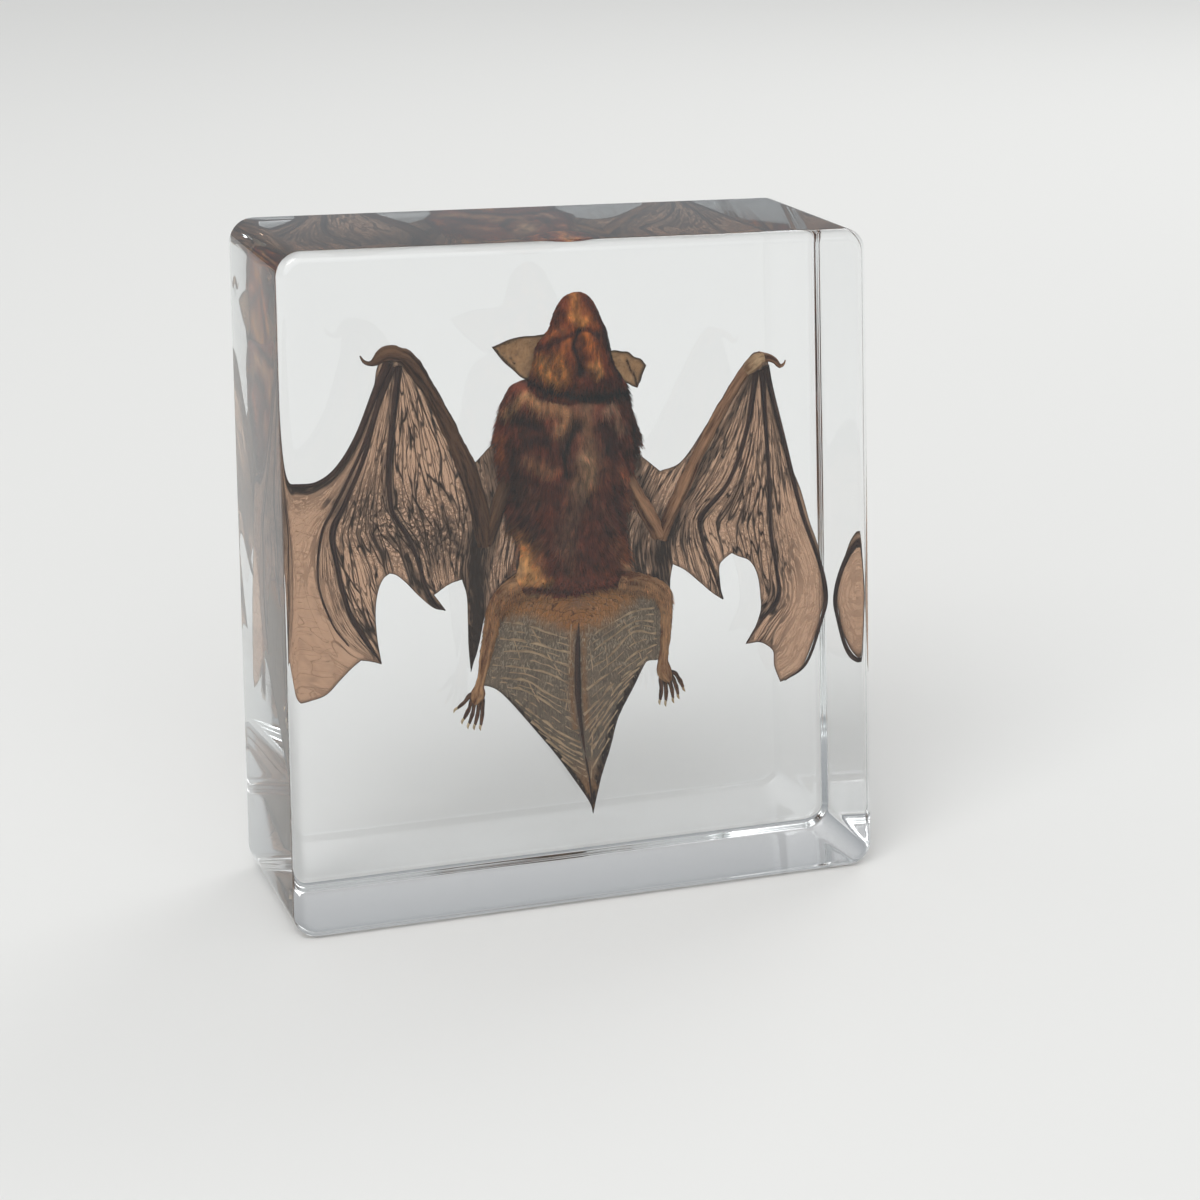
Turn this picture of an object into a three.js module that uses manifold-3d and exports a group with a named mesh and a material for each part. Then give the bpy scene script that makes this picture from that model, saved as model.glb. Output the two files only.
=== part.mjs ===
// A dried bat cast in an upright block of clear resin, in millimetres.
// +Z is up, the bat's belly faces -Y, and the origin is under the middle of the block.
// The resin is parted in two across its depth, around a pocket that holds the bat.
import * as THREE from 'three';
import * as BufferGeometryUtils from 'three/addons/utils/BufferGeometryUtils.js';
import Module from 'manifold-3d';

const wasm = await Module();
wasm.setup();

// Block: hand-finished, so its top falls to the right and its left side leans in.
const blockWidth = 99.5;
const blockDepth = 39.6;
const leftHeight = 111.5;
const rightHeight = 108.3;
const leftLean = 2.6;
const rightLean = 0.2;
const cornerRadius = 4;
const edgeRadius = 1.9;

// Parting and clearances.
const partingDepth = 6;
const seamGap = 0.3;
const jointGap = 0.3;
const pocketGap = 0.45;
const bodyPocketGap = 0.9;

// The bat leans back: its nose and wrists are near mid-depth, its wing tips and feet near the rear.
const leanPerMm = 0.23;
const levelHeight = 90;
const hipHeight = 46;
const tailLeanPerMm = 0.05;
const spineSetback = 1.5;

// Bat sizes.
const membraneThickness = 0.5;
const earThickness = 0.6;
const wingPocketThickness = 2.2;
const tailPocketThickness = 2.6;
const neckHeight = 83.4;

// Outlines are [x, z] as seen from the front. They run on under the torso, which cuts them.
const leftWingOutline = [
  [-8.5, 75.6], [-10.3, 75.4], [-13.2, 72.6], [-16.3, 77.9], [-20.8, 85.9], [-24.3, 92.2], [-27.3, 93],
  [-29.2, 90.5], [-29.9, 87], [-31.1, 83.1], [-32.4, 79.9], [-33.8, 77.4], [-35.9, 74.5], [-38.6, 72.1],
  [-41.4, 71.6], [-44.4, 72.1], [-45.9, 71.2], [-46.4, 67], [-46.6, 58], [-46.4, 46], [-45, 37],
  [-43.1, 33.3], [-41.2, 33.7], [-38.6, 34.5],
  [-36.3, 36.8], [-34.4, 38.7], [-32.7, 40], [-31, 39.6], [-29.2, 38.9], [-29.9, 43.8], [-30.1, 48.1],
  [-29.7, 51.6], [-28.8, 53.9], [-27.7, 54.8], [-26.6, 54.4], [-25, 52.9], [-22.8, 50.3], [-20.3, 47.9],
  [-18.2, 47.2], [-20.2, 50.2], [-17.7, 51.8], [-15.5, 52.4], [-14.7, 49.4], [-14.5, 44.9],
  [-14.4, 40.4], [-14, 35.6], [-12.6, 40.6], [-11.4, 46], [-9, 50.5], [-5, 54], [-4, 62], [-5, 70],
];
const rightWingOutline = [
  [12, 72.5], [14.8, 71.1], [18.4, 68], [22.1, 69.4], [26.3, 75.4], [30, 81.2], [33.5, 86.5], [35, 87.2],
  [36.5, 86], [36.9, 83.1], [37.8, 78.7], [39, 73.2], [40.8, 68.1], [43.2, 62.6], [45.2, 56.4], [47.1, 51],
  [48.4, 42.6], [47.9, 39], [47.5, 36.8], [46.7, 34.2], [45.6, 31.2], [44.6, 29.4], [42, 27.8],
  [41, 27.4], [39.8, 30.5], [39.5, 33.2], [38.2, 34.6], [36.7, 35.3], [34.4, 35.2], [35.4, 36.5],
  [36.8, 40.3], [36.9, 43.2], [36.2, 47.5], [34.7, 50.3], [32.6, 51.4], [31.4, 52.1], [30.1, 51.2],
  [29.3, 50], [29.5, 47.1], [30.1, 43.8], [28.1, 45.3], [26, 47.3], [23.2, 49.9], [20.5, 51],
  [16.5, 51], [11.5, 54], [11, 62],
];
const tailOutline = [
  [-7.6, 46.4], [4.1, 46], [18.6, 44.6], [19.1, 41.5], [18.8, 38], [16.4, 35.4], [14.4, 32.1],
  [11.9, 27.4], [10, 22.8], [8.8, 17.9], [7.5, 14], [6.8, 10.8], [6.3, 8.4], [5.8, 10], [4.3, 12.5],
  [2.3, 16.4], [-0.5, 20], [-3.6, 24.8], [-7, 29.3], [-9.4, 32.6], [-11.2, 33.9], [-10.6, 38], [-9.2, 43],
];
const leftEarOutline = [
  [-2, 93], [-3.8, 93.1], [-7.6, 92.9], [-10.5, 92], [-9.4, 90.3], [-7.9, 88.5], [-6, 86.5], [-2, 86],
];
const rightEarOutline = [
  [8, 90], [9.9, 89.5], [12, 89.1], [14.2, 87.8], [15.3, 86.5], [14.6, 84.4], [13.8, 83],
  [12.4, 83.8], [11, 85.6], [8, 86],
];

// Stations down the body are [x, z, half width, half depth].
const headStations = [
  [3.6, 99.8, 0.6, 0.6], [3.5, 99.2, 1.8, 1.6], [3.1, 97.7, 3.1, 2.6], [3.3, 95, 4.4, 3.7],
  [2.8, 92, 5.9, 4.6], [3, 88.4, 6.8, 5], [3.3, 85.4, 7.8, 5], [3.4, neckHeight, 8.2, 4.8],
];
const torsoStations = [
  [3, neckHeight - jointGap, 8.8, 4.9], [1.8, 81, 10.8, 5.4], [1.8, 77, 12, 5.9], [2.3, 74, 12.2, 6],
  [2.8, 68, 10.9, 5.8], [3.5, 62, 10, 5.2], [3.5, 58, 9.8, 4.9], [3.3, 53, 10.4, 4.5],
  [3.2, 49.8, 11.2, 4], [3.6, 46.9, 9.4, 2.8],
];

// Limbs are lists of [x, z, radius], from the body outwards.
const leftWingBones = {
  upperArm: [[-7.5, 70, 1.3], [-9.6, 64, 1.3], [-11.5, 58.6, 1.5]],
  forearm: [
    [-11.5, 58.2, 1.5], [-13, 65, 1.6], [-15.6, 73.5, 1.4], [-20.4, 85.2, 0.85],
    [-24.9, 91.3, 1.1], [-26.4, 92, 0.9],
  ],
  thumb: [[-26.2, 92, 0.9], [-29.2, 91.7, 0.7], [-30.7, 91.1, 0.45], [-32.1, 92.2, 0.2]],
  leadingFinger: [
    [-27.4, 91.2, 0.9], [-29.3, 86.5, 0.8], [-32.6, 78.6, 0.75], [-36, 73.6, 0.65], [-39.4, 71.3, 0.55],
    [-45, 71, 0.4],
  ],
  middleFinger: [
    [-26.8, 90, 0.6], [-29, 82.4, 0.5], [-33.5, 71.6, 0.45], [-36.7, 63.5, 0.5],
    [-35.2, 52.2, 0.4], [-29.6, 39.6, 0.3],
  ],
  innerFinger: [[-25.8, 90, 0.6], [-26.8, 80, 0.5], [-27.4, 69.8, 0.45], [-25.4, 59.4, 0.4], [-18.6, 47.6, 0.3]],
};
const rightWingBones = {
  upperArm: [[11, 71, 1.2], [14.6, 64, 1.2], [18.5, 56.8, 1.4]],
  forearm: [[18.6, 56.2, 1.4], [20.6, 63, 1.5], [23.7, 69.4, 1.3], [27.5, 75, 1.05], [33, 84, 0.9], [35, 86, 1]],
  thumb: [[35, 86.2, 0.9], [37.5, 85.9, 0.6], [38.7, 84.5, 0.35], [39.6, 85.1, 0.2]],
  leadingFinger: [[36, 85, 0.8], [38.2, 74, 0.6], [42.5, 63, 0.5], [46.4, 51, 0.45], [48, 42.5, 0.4]],
  fingerTip: [[48, 42.8, 0.4], [46.9, 36.6, 0.35], [44.3, 30, 0.3], [41.4, 27.8, 0.2]],
  middleFinger: [[34.8, 84, 0.6], [37.4, 57, 0.45], [39.8, 42.6, 0.4], [34.9, 35.6, 0.25]],
  innerFinger: [[33.6, 83, 0.6], [32, 68.4, 0.45], [25.9, 58, 0.45], [27.4, 51.9, 0.4], [29.9, 44.6, 0.3]],
};
const leftLegLine = [
  [-8, 49, 1.5], [-9.9, 46.9, 1.4], [-11.3, 41, 1], [-12.4, 35.4, 0.9], [-13.2, 32.4, 1.2], [-13.9, 31, 0.9],
];
const rightLegLine = [
  [13.6, 49.8, 1.6], [19.6, 47, 1.4], [20.6, 42, 1], [20.3, 36, 0.9], [19.9, 32.6, 1.2], [19.9, 31, 0.9],
];
const leftToeTips = [[-17.1, 30.3], [-16.4, 28.6], [-15.5, 27.6], [-14.5, 27.2], [-13.4, 27.2]];
const rightToeTips = [[22.6, 29.2], [21.8, 27.8], [20.7, 27.2], [19.6, 27], [18.4, 27.2]];
const tailLine = [
  [4.6, 46, 0.8], [4.3, 39, 0.75], [4.2, 27.4, 0.65], [5.3, 19, 0.5], [6.3, 12.3, 0.35], [6.3, 9, 0.25],
];

// A toe swells at its knuckle and tapers to its claw.
const toeRadius = 0.36;
const knuckleRadius = 0.43;
const clawRadius = 0.18;
const knuckleShare = 0.385;

// The pocket around a foot flares from the ankle to past the claws.
const footPocketShare = 1.25;
const footPocketHalfWidth = 3.2;
const footPocketHalfDepth = 1.6;

// How far a grown outline's points may run out at a sharp corner.
const sharpestStretch = 1.6;

const resinMaterial = new THREE.MeshStandardMaterial({
  color: 0xe6eaea, roughness: 0.05, metalness: 0, transparent: true, opacity: 0.3,
});
const furMaterial = new THREE.MeshStandardMaterial({ color: 0x5a2c1e, roughness: 0.8, metalness: 0 });
const headMaterial = new THREE.MeshStandardMaterial({ color: 0x8a4a26, roughness: 0.75, metalness: 0 });
const wingMaterial = new THREE.MeshStandardMaterial({ color: 0x7a5a45, roughness: 0.6, metalness: 0 });
const skinMaterial = new THREE.MeshStandardMaterial({ color: 0x9a6038, roughness: 0.6, metalness: 0 });
const tailMaterial = new THREE.MeshStandardMaterial({ color: 0x6f6052, roughness: 0.6, metalness: 0 });

function wingDepth(z) {
  return leanPerMm * (levelHeight - z);
}

function bodyDepth(z) {
  return z > hipHeight ? wingDepth(z) : wingDepth(hipHeight) + tailLeanPerMm * (hipHeight - z);
}

function tailDepth(z) {
  return wingDepth(hipHeight) + tailLeanPerMm * (hipHeight - z);
}

function solid(geometry) {
  geometry.deleteAttribute('normal');
  geometry.deleteAttribute('uv');
  const merged = BufferGeometryUtils.mergeVertices(geometry, 1e-4);
  const vertProperties = new Float32Array(merged.attributes.position.array);
  const triVerts = new Uint32Array(merged.index.array);
  return new wasm.Manifold(new wasm.Mesh({ numProp: 3, vertProperties, triVerts }));
}

function join(solids) {
  return solids.reduce((whole, piece) => whole.add(piece));
}

// Cutting can leave crumbs, so a piece is the largest body of the cut.
function largest(whole) {
  const bodies = whole.decompose();
  return bodies.reduce((best, body) => (body.volume() > best.volume() ? body : best));
}

function named(name, body, material) {
  const { vertProperties, triVerts } = body.getMesh();
  const geometry = new THREE.BufferGeometry();
  geometry.setAttribute('position', new THREE.BufferAttribute(vertProperties, 3));
  geometry.setIndex(new THREE.BufferAttribute(triVerts, 1));
  geometry.computeVertexNormals();
  const mesh = new THREE.Mesh(geometry, material);
  mesh.name = name;
  return mesh;
}

// Moves a flat outline's points outwards by a distance.
function grown(outline, distance) {
  const points = outline.map(([x, z]) => new THREE.Vector2(x, z));
  const turn = THREE.ShapeUtils.isClockWise(points) ? 1 : -1;
  const outward = (from, to) => {
    const edge = to.clone().sub(from).normalize();
    return new THREE.Vector2(-edge.y * turn, edge.x * turn);
  };
  return points.map((point, i) => {
    const before = outward(points.at(i - 1), point);
    const after = outward(point, points[(i + 1) % points.length]);
    const corner = before.add(after).normalize();
    const reach = distance / Math.max(corner.dot(after), 1 / sharpestStretch);
    return [point.x + corner.x * reach, point.y + corner.y * reach];
  });
}

// A thin sheet of the outline's shape, standing in XZ and set back by depthAt(z).
function sheet(outline, thickness, depthAt) {
  const shape = new THREE.Shape(outline.map(([x, z]) => new THREE.Vector2(x, z)));
  const geometry = new THREE.ExtrudeGeometry(shape, { depth: thickness, bevelEnabled: false });
  geometry.rotateX(Math.PI / 2);
  const position = geometry.attributes.position;
  for (let i = 0; i < position.count; i += 1) {
    position.setY(i, position.getY(i) + thickness / 2 + depthAt(position.getZ(i)));
  }
  return solid(geometry);
}

// A body of oval sections along a smooth line. Stations are [x, z, half width, half depth].
// The sections square up to the line, or lie level for a body that hangs straight down.
function lofted(stations, sides, rows, depthAt, gap = 0, level = false) {
  const line = new THREE.CatmullRomCurve3(stations.map(([x, z]) => new THREE.Vector3(x, depthAt(z), z)));
  const sizes = new THREE.CatmullRomCurve3(stations.map(([, , wide, deep]) => new THREE.Vector3(wide, deep, 0)));
  const geometry = new THREE.CylinderGeometry(1, 1, rows, sides, rows);
  const position = geometry.attributes.position;
  const depthAxis = new THREE.Vector3(0, 1, 0);
  for (let i = 0; i < position.count; i += 1) {
    const along = THREE.MathUtils.clamp(0.5 - position.getY(i) / rows, 0, 1);
    const tangent = level ? new THREE.Vector3(0, 0, -1) : line.getTangent(along);
    const side = tangent.clone().cross(depthAxis).normalize();
    const front = tangent.clone().cross(side);
    const size = sizes.getPoint(along);
    const spot = line.getPoint(along);
    const beyond = along === 0 ? -gap : along === 1 ? gap : 0;
    spot.addScaledVector(side, position.getX(i) * (size.x + gap));
    spot.addScaledVector(front, position.getZ(i) * (size.y + gap));
    spot.addScaledVector(tangent, beyond);
    position.setXYZ(i, spot.x, spot.y, spot.z);
  }
  return solid(geometry);
}

// A round limb: stations are [x, z, radius].
function limb(stations, sides, depthAt, gap = 0) {
  const oval = stations.map(([x, z, radius]) => [x, z, radius, radius]);
  return lofted(oval, sides, stations.length - 1, depthAt, gap);
}

function insetCorners(corners, distance) {
  const edges = corners.map((corner, i) => {
    const direction = corners[(i + 1) % corners.length].clone().sub(corner).normalize();
    const inward = new THREE.Vector2(-direction.y, direction.x);
    return { start: corner.clone().addScaledVector(inward, distance), direction };
  });
  return edges.map((edge, i) => {
    const last = edges.at(i - 1);
    const between = edge.start.clone().sub(last.start);
    const along = between.cross(edge.direction) / last.direction.cross(edge.direction);
    return last.start.clone().addScaledVector(last.direction, along);
  });
}

// The whole block: a rounded four-sided outline, extruded through the depth with rounded edges.
function block() {
  const half = blockWidth / 2;
  const corners = [
    new THREE.Vector2(-half, 0),
    new THREE.Vector2(half, 0),
    new THREE.Vector2(half - rightLean, rightHeight),
    new THREE.Vector2(-half + leftLean, leftHeight),
  ];
  const shape = new THREE.Shape();
  insetCorners(corners, cornerRadius).forEach((centre, i) => {
    const before = corners[i].clone().sub(corners.at(i - 1)).angle() - Math.PI / 2;
    const after = corners[(i + 1) % 4].clone().sub(corners[i]).angle() - Math.PI / 2;
    shape.absarc(centre.x, centre.y, cornerRadius - edgeRadius, before, after, false);
  });
  shape.closePath();
  const geometry = new THREE.ExtrudeGeometry(shape, {
    depth: blockDepth - 2 * edgeRadius,
    bevelThickness: edgeRadius,
    bevelSize: edgeRadius,
    bevelSegments: 3,
    curveSegments: 5,
  });
  geometry.rotateX(Math.PI / 2);
  geometry.computeBoundingBox();
  const { min, max } = geometry.boundingBox;
  geometry.translate(-(min.x + max.x) / 2, -(min.y + max.y) / 2, -min.z);
  return solid(geometry);
}

// All of the space on one side of a plane across the depth, as far as the block reaches.
function sideOf(plane, direction) {
  const reach = 2 * leftHeight;
  const geometry = new THREE.BoxGeometry(reach, reach, reach);
  geometry.translate(0, plane + (direction * reach) / 2, 0);
  return solid(geometry);
}

function torsoBody(gap = 0, sides = 20, rows = 15) {
  const setBack = (z) => bodyDepth(z) + spineSetback;
  return lofted(torsoStations, sides, rows, setBack, gap, true);
}

function headBody(gap = 0, sides = 18, rows = 12) {
  return lofted(headStations, sides, rows, bodyDepth, gap, true);
}

// The point that lies a share of the way from one point to another.
function between([fromX, fromZ], [toX, toZ], share) {
  return [fromX + (toX - fromX) * share, fromZ + (toZ - fromZ) * share];
}

function leg(line, toeTips, gap = 0) {
  const foot = line.at(-1);
  const ankle = line.at(-2).slice(0, 2);
  const toes = toeTips.map((tip) => {
    const knuckle = between(foot, tip, knuckleShare);
    return limb([[...ankle, toeRadius], [...knuckle, knuckleRadius], [...tip, clawRadius]], 5, tailDepth, gap);
  });
  return join([limb(line, 8, tailDepth, gap), ...toes]);
}

// The pocket takes in all the toes at once.
function legPocket(line, toeTips) {
  const ankle = line.at(-2).slice(0, 2);
  const middleTip = toeTips[2];
  const foot = [
    [...ankle, footPocketHalfWidth / 2, footPocketHalfDepth],
    [...between(ankle, middleTip, footPocketShare / 2), footPocketHalfWidth, footPocketHalfDepth],
    [...between(ankle, middleTip, footPocketShare), footPocketHalfWidth, footPocketHalfDepth / 2],
  ];
  return limb(line, 8, tailDepth, pocketGap).add(lofted(foot, 10, 2, tailDepth));
}

function wing(outline, bones) {
  const membrane = sheet(outline, membraneThickness, wingDepth);
  const { upperArm, forearm, ...fingers } = bones;
  const arm = [upperArm, forearm].map((bone) => limb(bone, 8, wingDepth));
  return join([membrane, ...arm, ...Object.values(fingers).map((bone) => limb(bone, 5, wingDepth))]);
}

function wingPocket(outline, bones) {
  const slot = sheet(grown(outline, pocketGap * 2), wingPocketThickness, wingDepth);
  const arm = [bones.upperArm, bones.forearm, bones.thumb];
  return join([slot, ...arm.map((bone) => limb(bone, 8, wingDepth, pocketGap))]);
}

function tail() {
  return sheet(tailOutline, membraneThickness, tailDepth).add(limb(tailLine, 6, tailDepth));
}

const torso = torsoBody();
const head = headBody();
const aroundTorso = torsoBody(jointGap);
const aroundHead = headBody(jointGap);
const leftLeg = largest(leg(leftLegLine, leftToeTips).subtract(aroundTorso));
const rightLeg = largest(leg(rightLegLine, rightToeTips).subtract(aroundTorso));
const aroundLegs = leg(leftLegLine, leftToeTips, jointGap).add(leg(rightLegLine, rightToeTips, jointGap));
const aroundTail = sheet(grown(tailOutline, jointGap), membraneThickness + 2 * jointGap, tailDepth);
const aroundHips = join([aroundTorso, aroundLegs, aroundTail]);
const leftWing = largest(wing(leftWingOutline, leftWingBones).subtract(aroundHips));
const rightWing = largest(wing(rightWingOutline, rightWingBones).subtract(aroundHips));
const tailMembrane = largest(tail().subtract(aroundTorso.add(aroundLegs)));
const leftEar = largest(sheet(leftEarOutline, earThickness, bodyDepth).subtract(aroundHead.add(aroundTorso)));
const rightEar = largest(sheet(rightEarOutline, earThickness, bodyDepth).subtract(aroundHead.add(aroundTorso)));

const pocket = join([
  torsoBody(bodyPocketGap, 14, 9),
  headBody(bodyPocketGap, 12, 7),
  sheet(grown(leftEarOutline, pocketGap), earThickness + 2 * pocketGap, bodyDepth),
  sheet(grown(rightEarOutline, pocketGap), earThickness + 2 * pocketGap, bodyDepth),
  wingPocket(leftWingOutline, leftWingBones),
  wingPocket(rightWingOutline, rightWingBones),
  sheet(grown(tailOutline, pocketGap * 2), tailPocketThickness, tailDepth),
  legPocket(leftLegLine, leftToeTips),
  legPocket(rightLegLine, rightToeTips),
]);
const resin = block().subtract(pocket);

const group = new THREE.Group();
group.add(
  named('resin_front', largest(resin.intersect(sideOf(partingDepth - seamGap / 2, -1))), resinMaterial),
  named('resin_back', largest(resin.intersect(sideOf(partingDepth + seamGap / 2, 1))), resinMaterial),
  named('head', head, headMaterial),
  named('ear_left', leftEar, skinMaterial),
  named('ear_right', rightEar, skinMaterial),
  named('torso', torso, furMaterial),
  named('wing_left', leftWing, wingMaterial),
  named('wing_right', rightWing, wingMaterial),
  named('leg_left', leftLeg, skinMaterial),
  named('leg_right', rightLeg, skinMaterial),
  named('tail_membrane', tailMembrane, tailMaterial),
);

export default group;
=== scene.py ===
import math

import bpy
import numpy as np
from mathutils import Matrix, Vector, noise
from mathutils.geometry import delaunay_2d_cdt


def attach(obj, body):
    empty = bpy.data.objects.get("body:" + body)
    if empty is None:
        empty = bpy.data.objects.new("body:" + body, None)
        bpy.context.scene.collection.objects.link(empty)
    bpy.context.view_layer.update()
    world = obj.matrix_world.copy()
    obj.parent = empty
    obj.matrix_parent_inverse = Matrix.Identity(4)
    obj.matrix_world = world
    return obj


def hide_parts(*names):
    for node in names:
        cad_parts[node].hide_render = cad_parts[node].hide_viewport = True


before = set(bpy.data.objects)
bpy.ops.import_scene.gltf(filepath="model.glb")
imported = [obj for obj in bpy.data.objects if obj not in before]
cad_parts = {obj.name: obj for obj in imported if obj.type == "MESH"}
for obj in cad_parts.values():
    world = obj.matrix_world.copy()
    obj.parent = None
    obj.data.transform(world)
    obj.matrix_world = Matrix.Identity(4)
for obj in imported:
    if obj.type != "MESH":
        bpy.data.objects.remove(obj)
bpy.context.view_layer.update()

mm = 0.001  # every list below is in millimetres, x to the right, z up, seen from the front

scene = bpy.context.scene
scene.view_settings.view_transform = "Standard"
scene.cycles.max_bounces = 24  # light crosses the block many times before it leaves
scene.cycles.transmission_bounces = 24
scene.cycles.glossy_bounces = 12
scene.cycles.transparent_max_bounces = 48


def linear(hexColour):
    # From an sRGB hex colour to linear light, opaque.
    channels = [int(hexColour[i:i + 2], 16) / 255 for i in (1, 3, 5)]
    return [c / 12.92 if c <= 0.04045 else ((c + 0.055) / 1.055) ** 2.4 for c in channels] + [1.0]


def addNode(tree, kind, settings=None, links=None):
    # Settings hold properties and input values; links hold sockets, or nodes for their first output.
    node = tree.nodes.new(kind)
    named = dict(settings or {})
    for key in [k for k in named if not isinstance(k, int) and hasattr(node, k)]:
        setattr(node, key, named.pop(key))
    for key, value in named.items():
        node.inputs[key].default_value = value
    for key, source in (links or {}).items():
        socket = source.outputs[0] if isinstance(source, bpy.types.Node) else source
        tree.links.new(socket, node.inputs[key])
    return node


def newMaterial(name):
    material = bpy.data.materials.new(name)
    material.use_nodes = True
    material.node_tree.nodes.clear()
    return material, material.node_tree


def dullSurface(tree, colour, roughness, shine, glow=0.0):
    # A rough surface that lets a share of the light through, as its glow.
    solid = addNode(
        tree, "ShaderNodeBsdfPrincipled", {"Roughness": roughness, "IOR": 1.45, "Specular IOR Level": shine},
        {"Base Color": colour},
    )
    if not glow:
        return solid
    through = addNode(tree, "ShaderNodeBsdfTranslucent", {}, {"Color": colour})
    return addNode(tree, "ShaderNodeMixShader", {0: glow}, {1: solid, 2: through})


def newNodeGroup(name, inputs):
    # A geometry node tree that takes the named inputs and gives a mesh back.
    tree = bpy.data.node_groups.new(name, "GeometryNodeTree")
    for label, kind in {"Geometry": "Geometry", **inputs}.items():
        tree.interface.new_socket(label, in_out="INPUT", socket_type="NodeSocket" + kind)
    tree.interface.new_socket("Geometry", in_out="OUTPUT", socket_type="NodeSocketGeometry")
    return tree, addNode(tree, "NodeGroupInput")


def endNodeGroup(tree, made, material):
    real = addNode(tree, "GeometryNodeRealizeInstances", {}, {"Geometry": made})
    painted = addNode(tree, "GeometryNodeSetMaterial", {}, {"Geometry": real, "Material": material})
    addNode(tree, "NodeGroupOutput", {}, {"Geometry": painted})


# Where each part of the bat lies in the depth of the block: it leans back towards its feet.
pose = {"leanPerMm": 0.23, "levelHeight": 90, "hipHeight": 46, "tailLeanPerMm": 0.05}


def wingDepth(z):
    return pose["leanPerMm"] * (pose["levelHeight"] - z)


def tailDepth(z):
    return wingDepth(pose["hipHeight"]) + pose["tailLeanPerMm"] * (pose["hipHeight"] - z)


def bodyDepth(z):
    return np.where(np.asarray(z) > pose["hipHeight"], wingDepth(z), tailDepth(z))


def spline(stations, step, samples=12):
    # Evenly spaced points on a smooth line of [x, z]; further columns ride along.
    p = np.array(stations, float)
    ends = np.vstack([2 * p[0] - p[1], p, 2 * p[-1] - p[-2]])
    t = np.linspace(0, 1, samples, endpoint=False)[:, None]
    runs = [
        0.5 * (2 * b + (c - a) * t + (2 * a - 5 * b + 4 * c - d) * t ** 2 + (3 * b - a - 3 * c + d) * t ** 3)
        for a, b, c, d in zip(ends, ends[1:], ends[2:], ends[3:])
    ]
    fine = np.vstack(runs + [p[-1:]])
    length = np.concatenate([[0], np.cumsum(np.linalg.norm(np.diff(fine[:, :2], axis=0), axis=1))])
    at = np.linspace(0, length[-1], max(2, round(length[-1] / step) + 1))
    return np.stack([np.interp(at, length, column) for column in fine.T], 1)


def smoothOutline(points, step, sharpDegrees=48):
    # A closed outline, smooth between its sharp points.
    p = np.array(points, float)
    before = p - np.roll(p, 1, 0)
    after = np.roll(p, -1, 0) - p
    turn = np.degrees(np.abs(np.angle((after[:, 0] + 1j * after[:, 1]) / (before[:, 0] + 1j * before[:, 1]))))
    sharp = np.flatnonzero(turn > sharpDegrees)
    if len(sharp) < 2:
        sharp = np.array([0, len(p) // 2])
    pieces = []
    for start, stop in zip(sharp, np.roll(sharp, -1)):
        run = np.take(p, range(start, (stop if stop > start else stop + len(p)) + 1), 0, mode="wrap")
        pieces.append(spline(run, step)[:-1])
    return np.vstack(pieces)


portion = 3000  # this many points are measured at once, to spare memory


def nearest(points, line, closed=False):
    # Distance from each point to a line, and which side of it the point is on.
    if len(points) > portion:
        parts = [nearest(points[i:i + portion], line, closed) for i in range(0, len(points), portion)]
        return tuple(np.concatenate(both) for both in zip(*parts))
    start = line if closed else line[:-1]
    edge = (np.roll(line, -1, 0) if closed else line[1:]) - start
    reach = points[:, None] - start[None]
    along = np.clip((reach * edge).sum(2) / (edge ** 2).sum(1), 0, 1)
    gap = reach - along[..., None] * edge
    distance = np.linalg.norm(gap, axis=2)
    best = distance.argmin(1)
    pick = np.arange(len(points))
    cross = edge[best, 0] * reach[pick, best, 1] - edge[best, 1] * reach[pick, best, 0]
    return distance[pick, best], np.sign(cross)


def inside(points, outline):
    if len(points) > portion:
        return np.concatenate(
            [inside(points[i:i + portion], outline) for i in range(0, len(points), portion)],
        )
    a, b = outline, np.roll(outline, -1, 0)
    x, z = points[:, None, 0], points[:, None, 1]
    crosses = (a[:, 1] > z) != (b[:, 1] > z)
    with np.errstate(divide="ignore", invalid="ignore"):
        at = (b[:, 0] - a[:, 0]) * (z - a[:, 1]) / (b[:, 1] - a[:, 1]) + a[:, 0]
    return (crosses & (x < at)).sum(1) % 2 == 1


def fillOutline(outline, step, rowShare=0.866, clearance=0.6):
    # Even triangles over a flat outline, in rows rowShare of a step apart.
    low, high = outline.min(0), outline.max(0)
    rows = np.arange(low[1], high[1], step * rowShare)
    columns = np.arange(low[0], high[0], step)
    grid = np.array([(x + (i % 2) * step / 2, z) for i, z in enumerate(rows) for x in columns])
    grid = grid[inside(grid, outline)]
    grid = grid[nearest(grid, outline, True)[0] > clearance * step]
    count = len(outline)
    points = [Vector(p) for p in np.vstack([outline, grid])]
    verts, _, faces, *_ = delaunay_2d_cdt(points, [(i, (i + 1) % count) for i in range(count)], [], 1, 1e-7)
    return np.array([tuple(v) for v in verts]), [tuple(f) for f in faces]


def noiseAt(points, scale, seed=0.0):
    # Smooth noise from -1 to 1 at each row of points, stretched by scale.
    return np.array(
        [noise.noise(Vector((p[0] * scale[0] + seed, p[1] * scale[1], seed * 1.7))) for p in points],
    )


def alongMarks(flat, marks, power=2):
    # How strongly each point lies on each mark: a smooth line of [x, z] with a half width.
    return [np.exp(-(nearest(flat, spline(line, 0.5))[0] / width) ** power) for line, width, *_ in marks]


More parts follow.
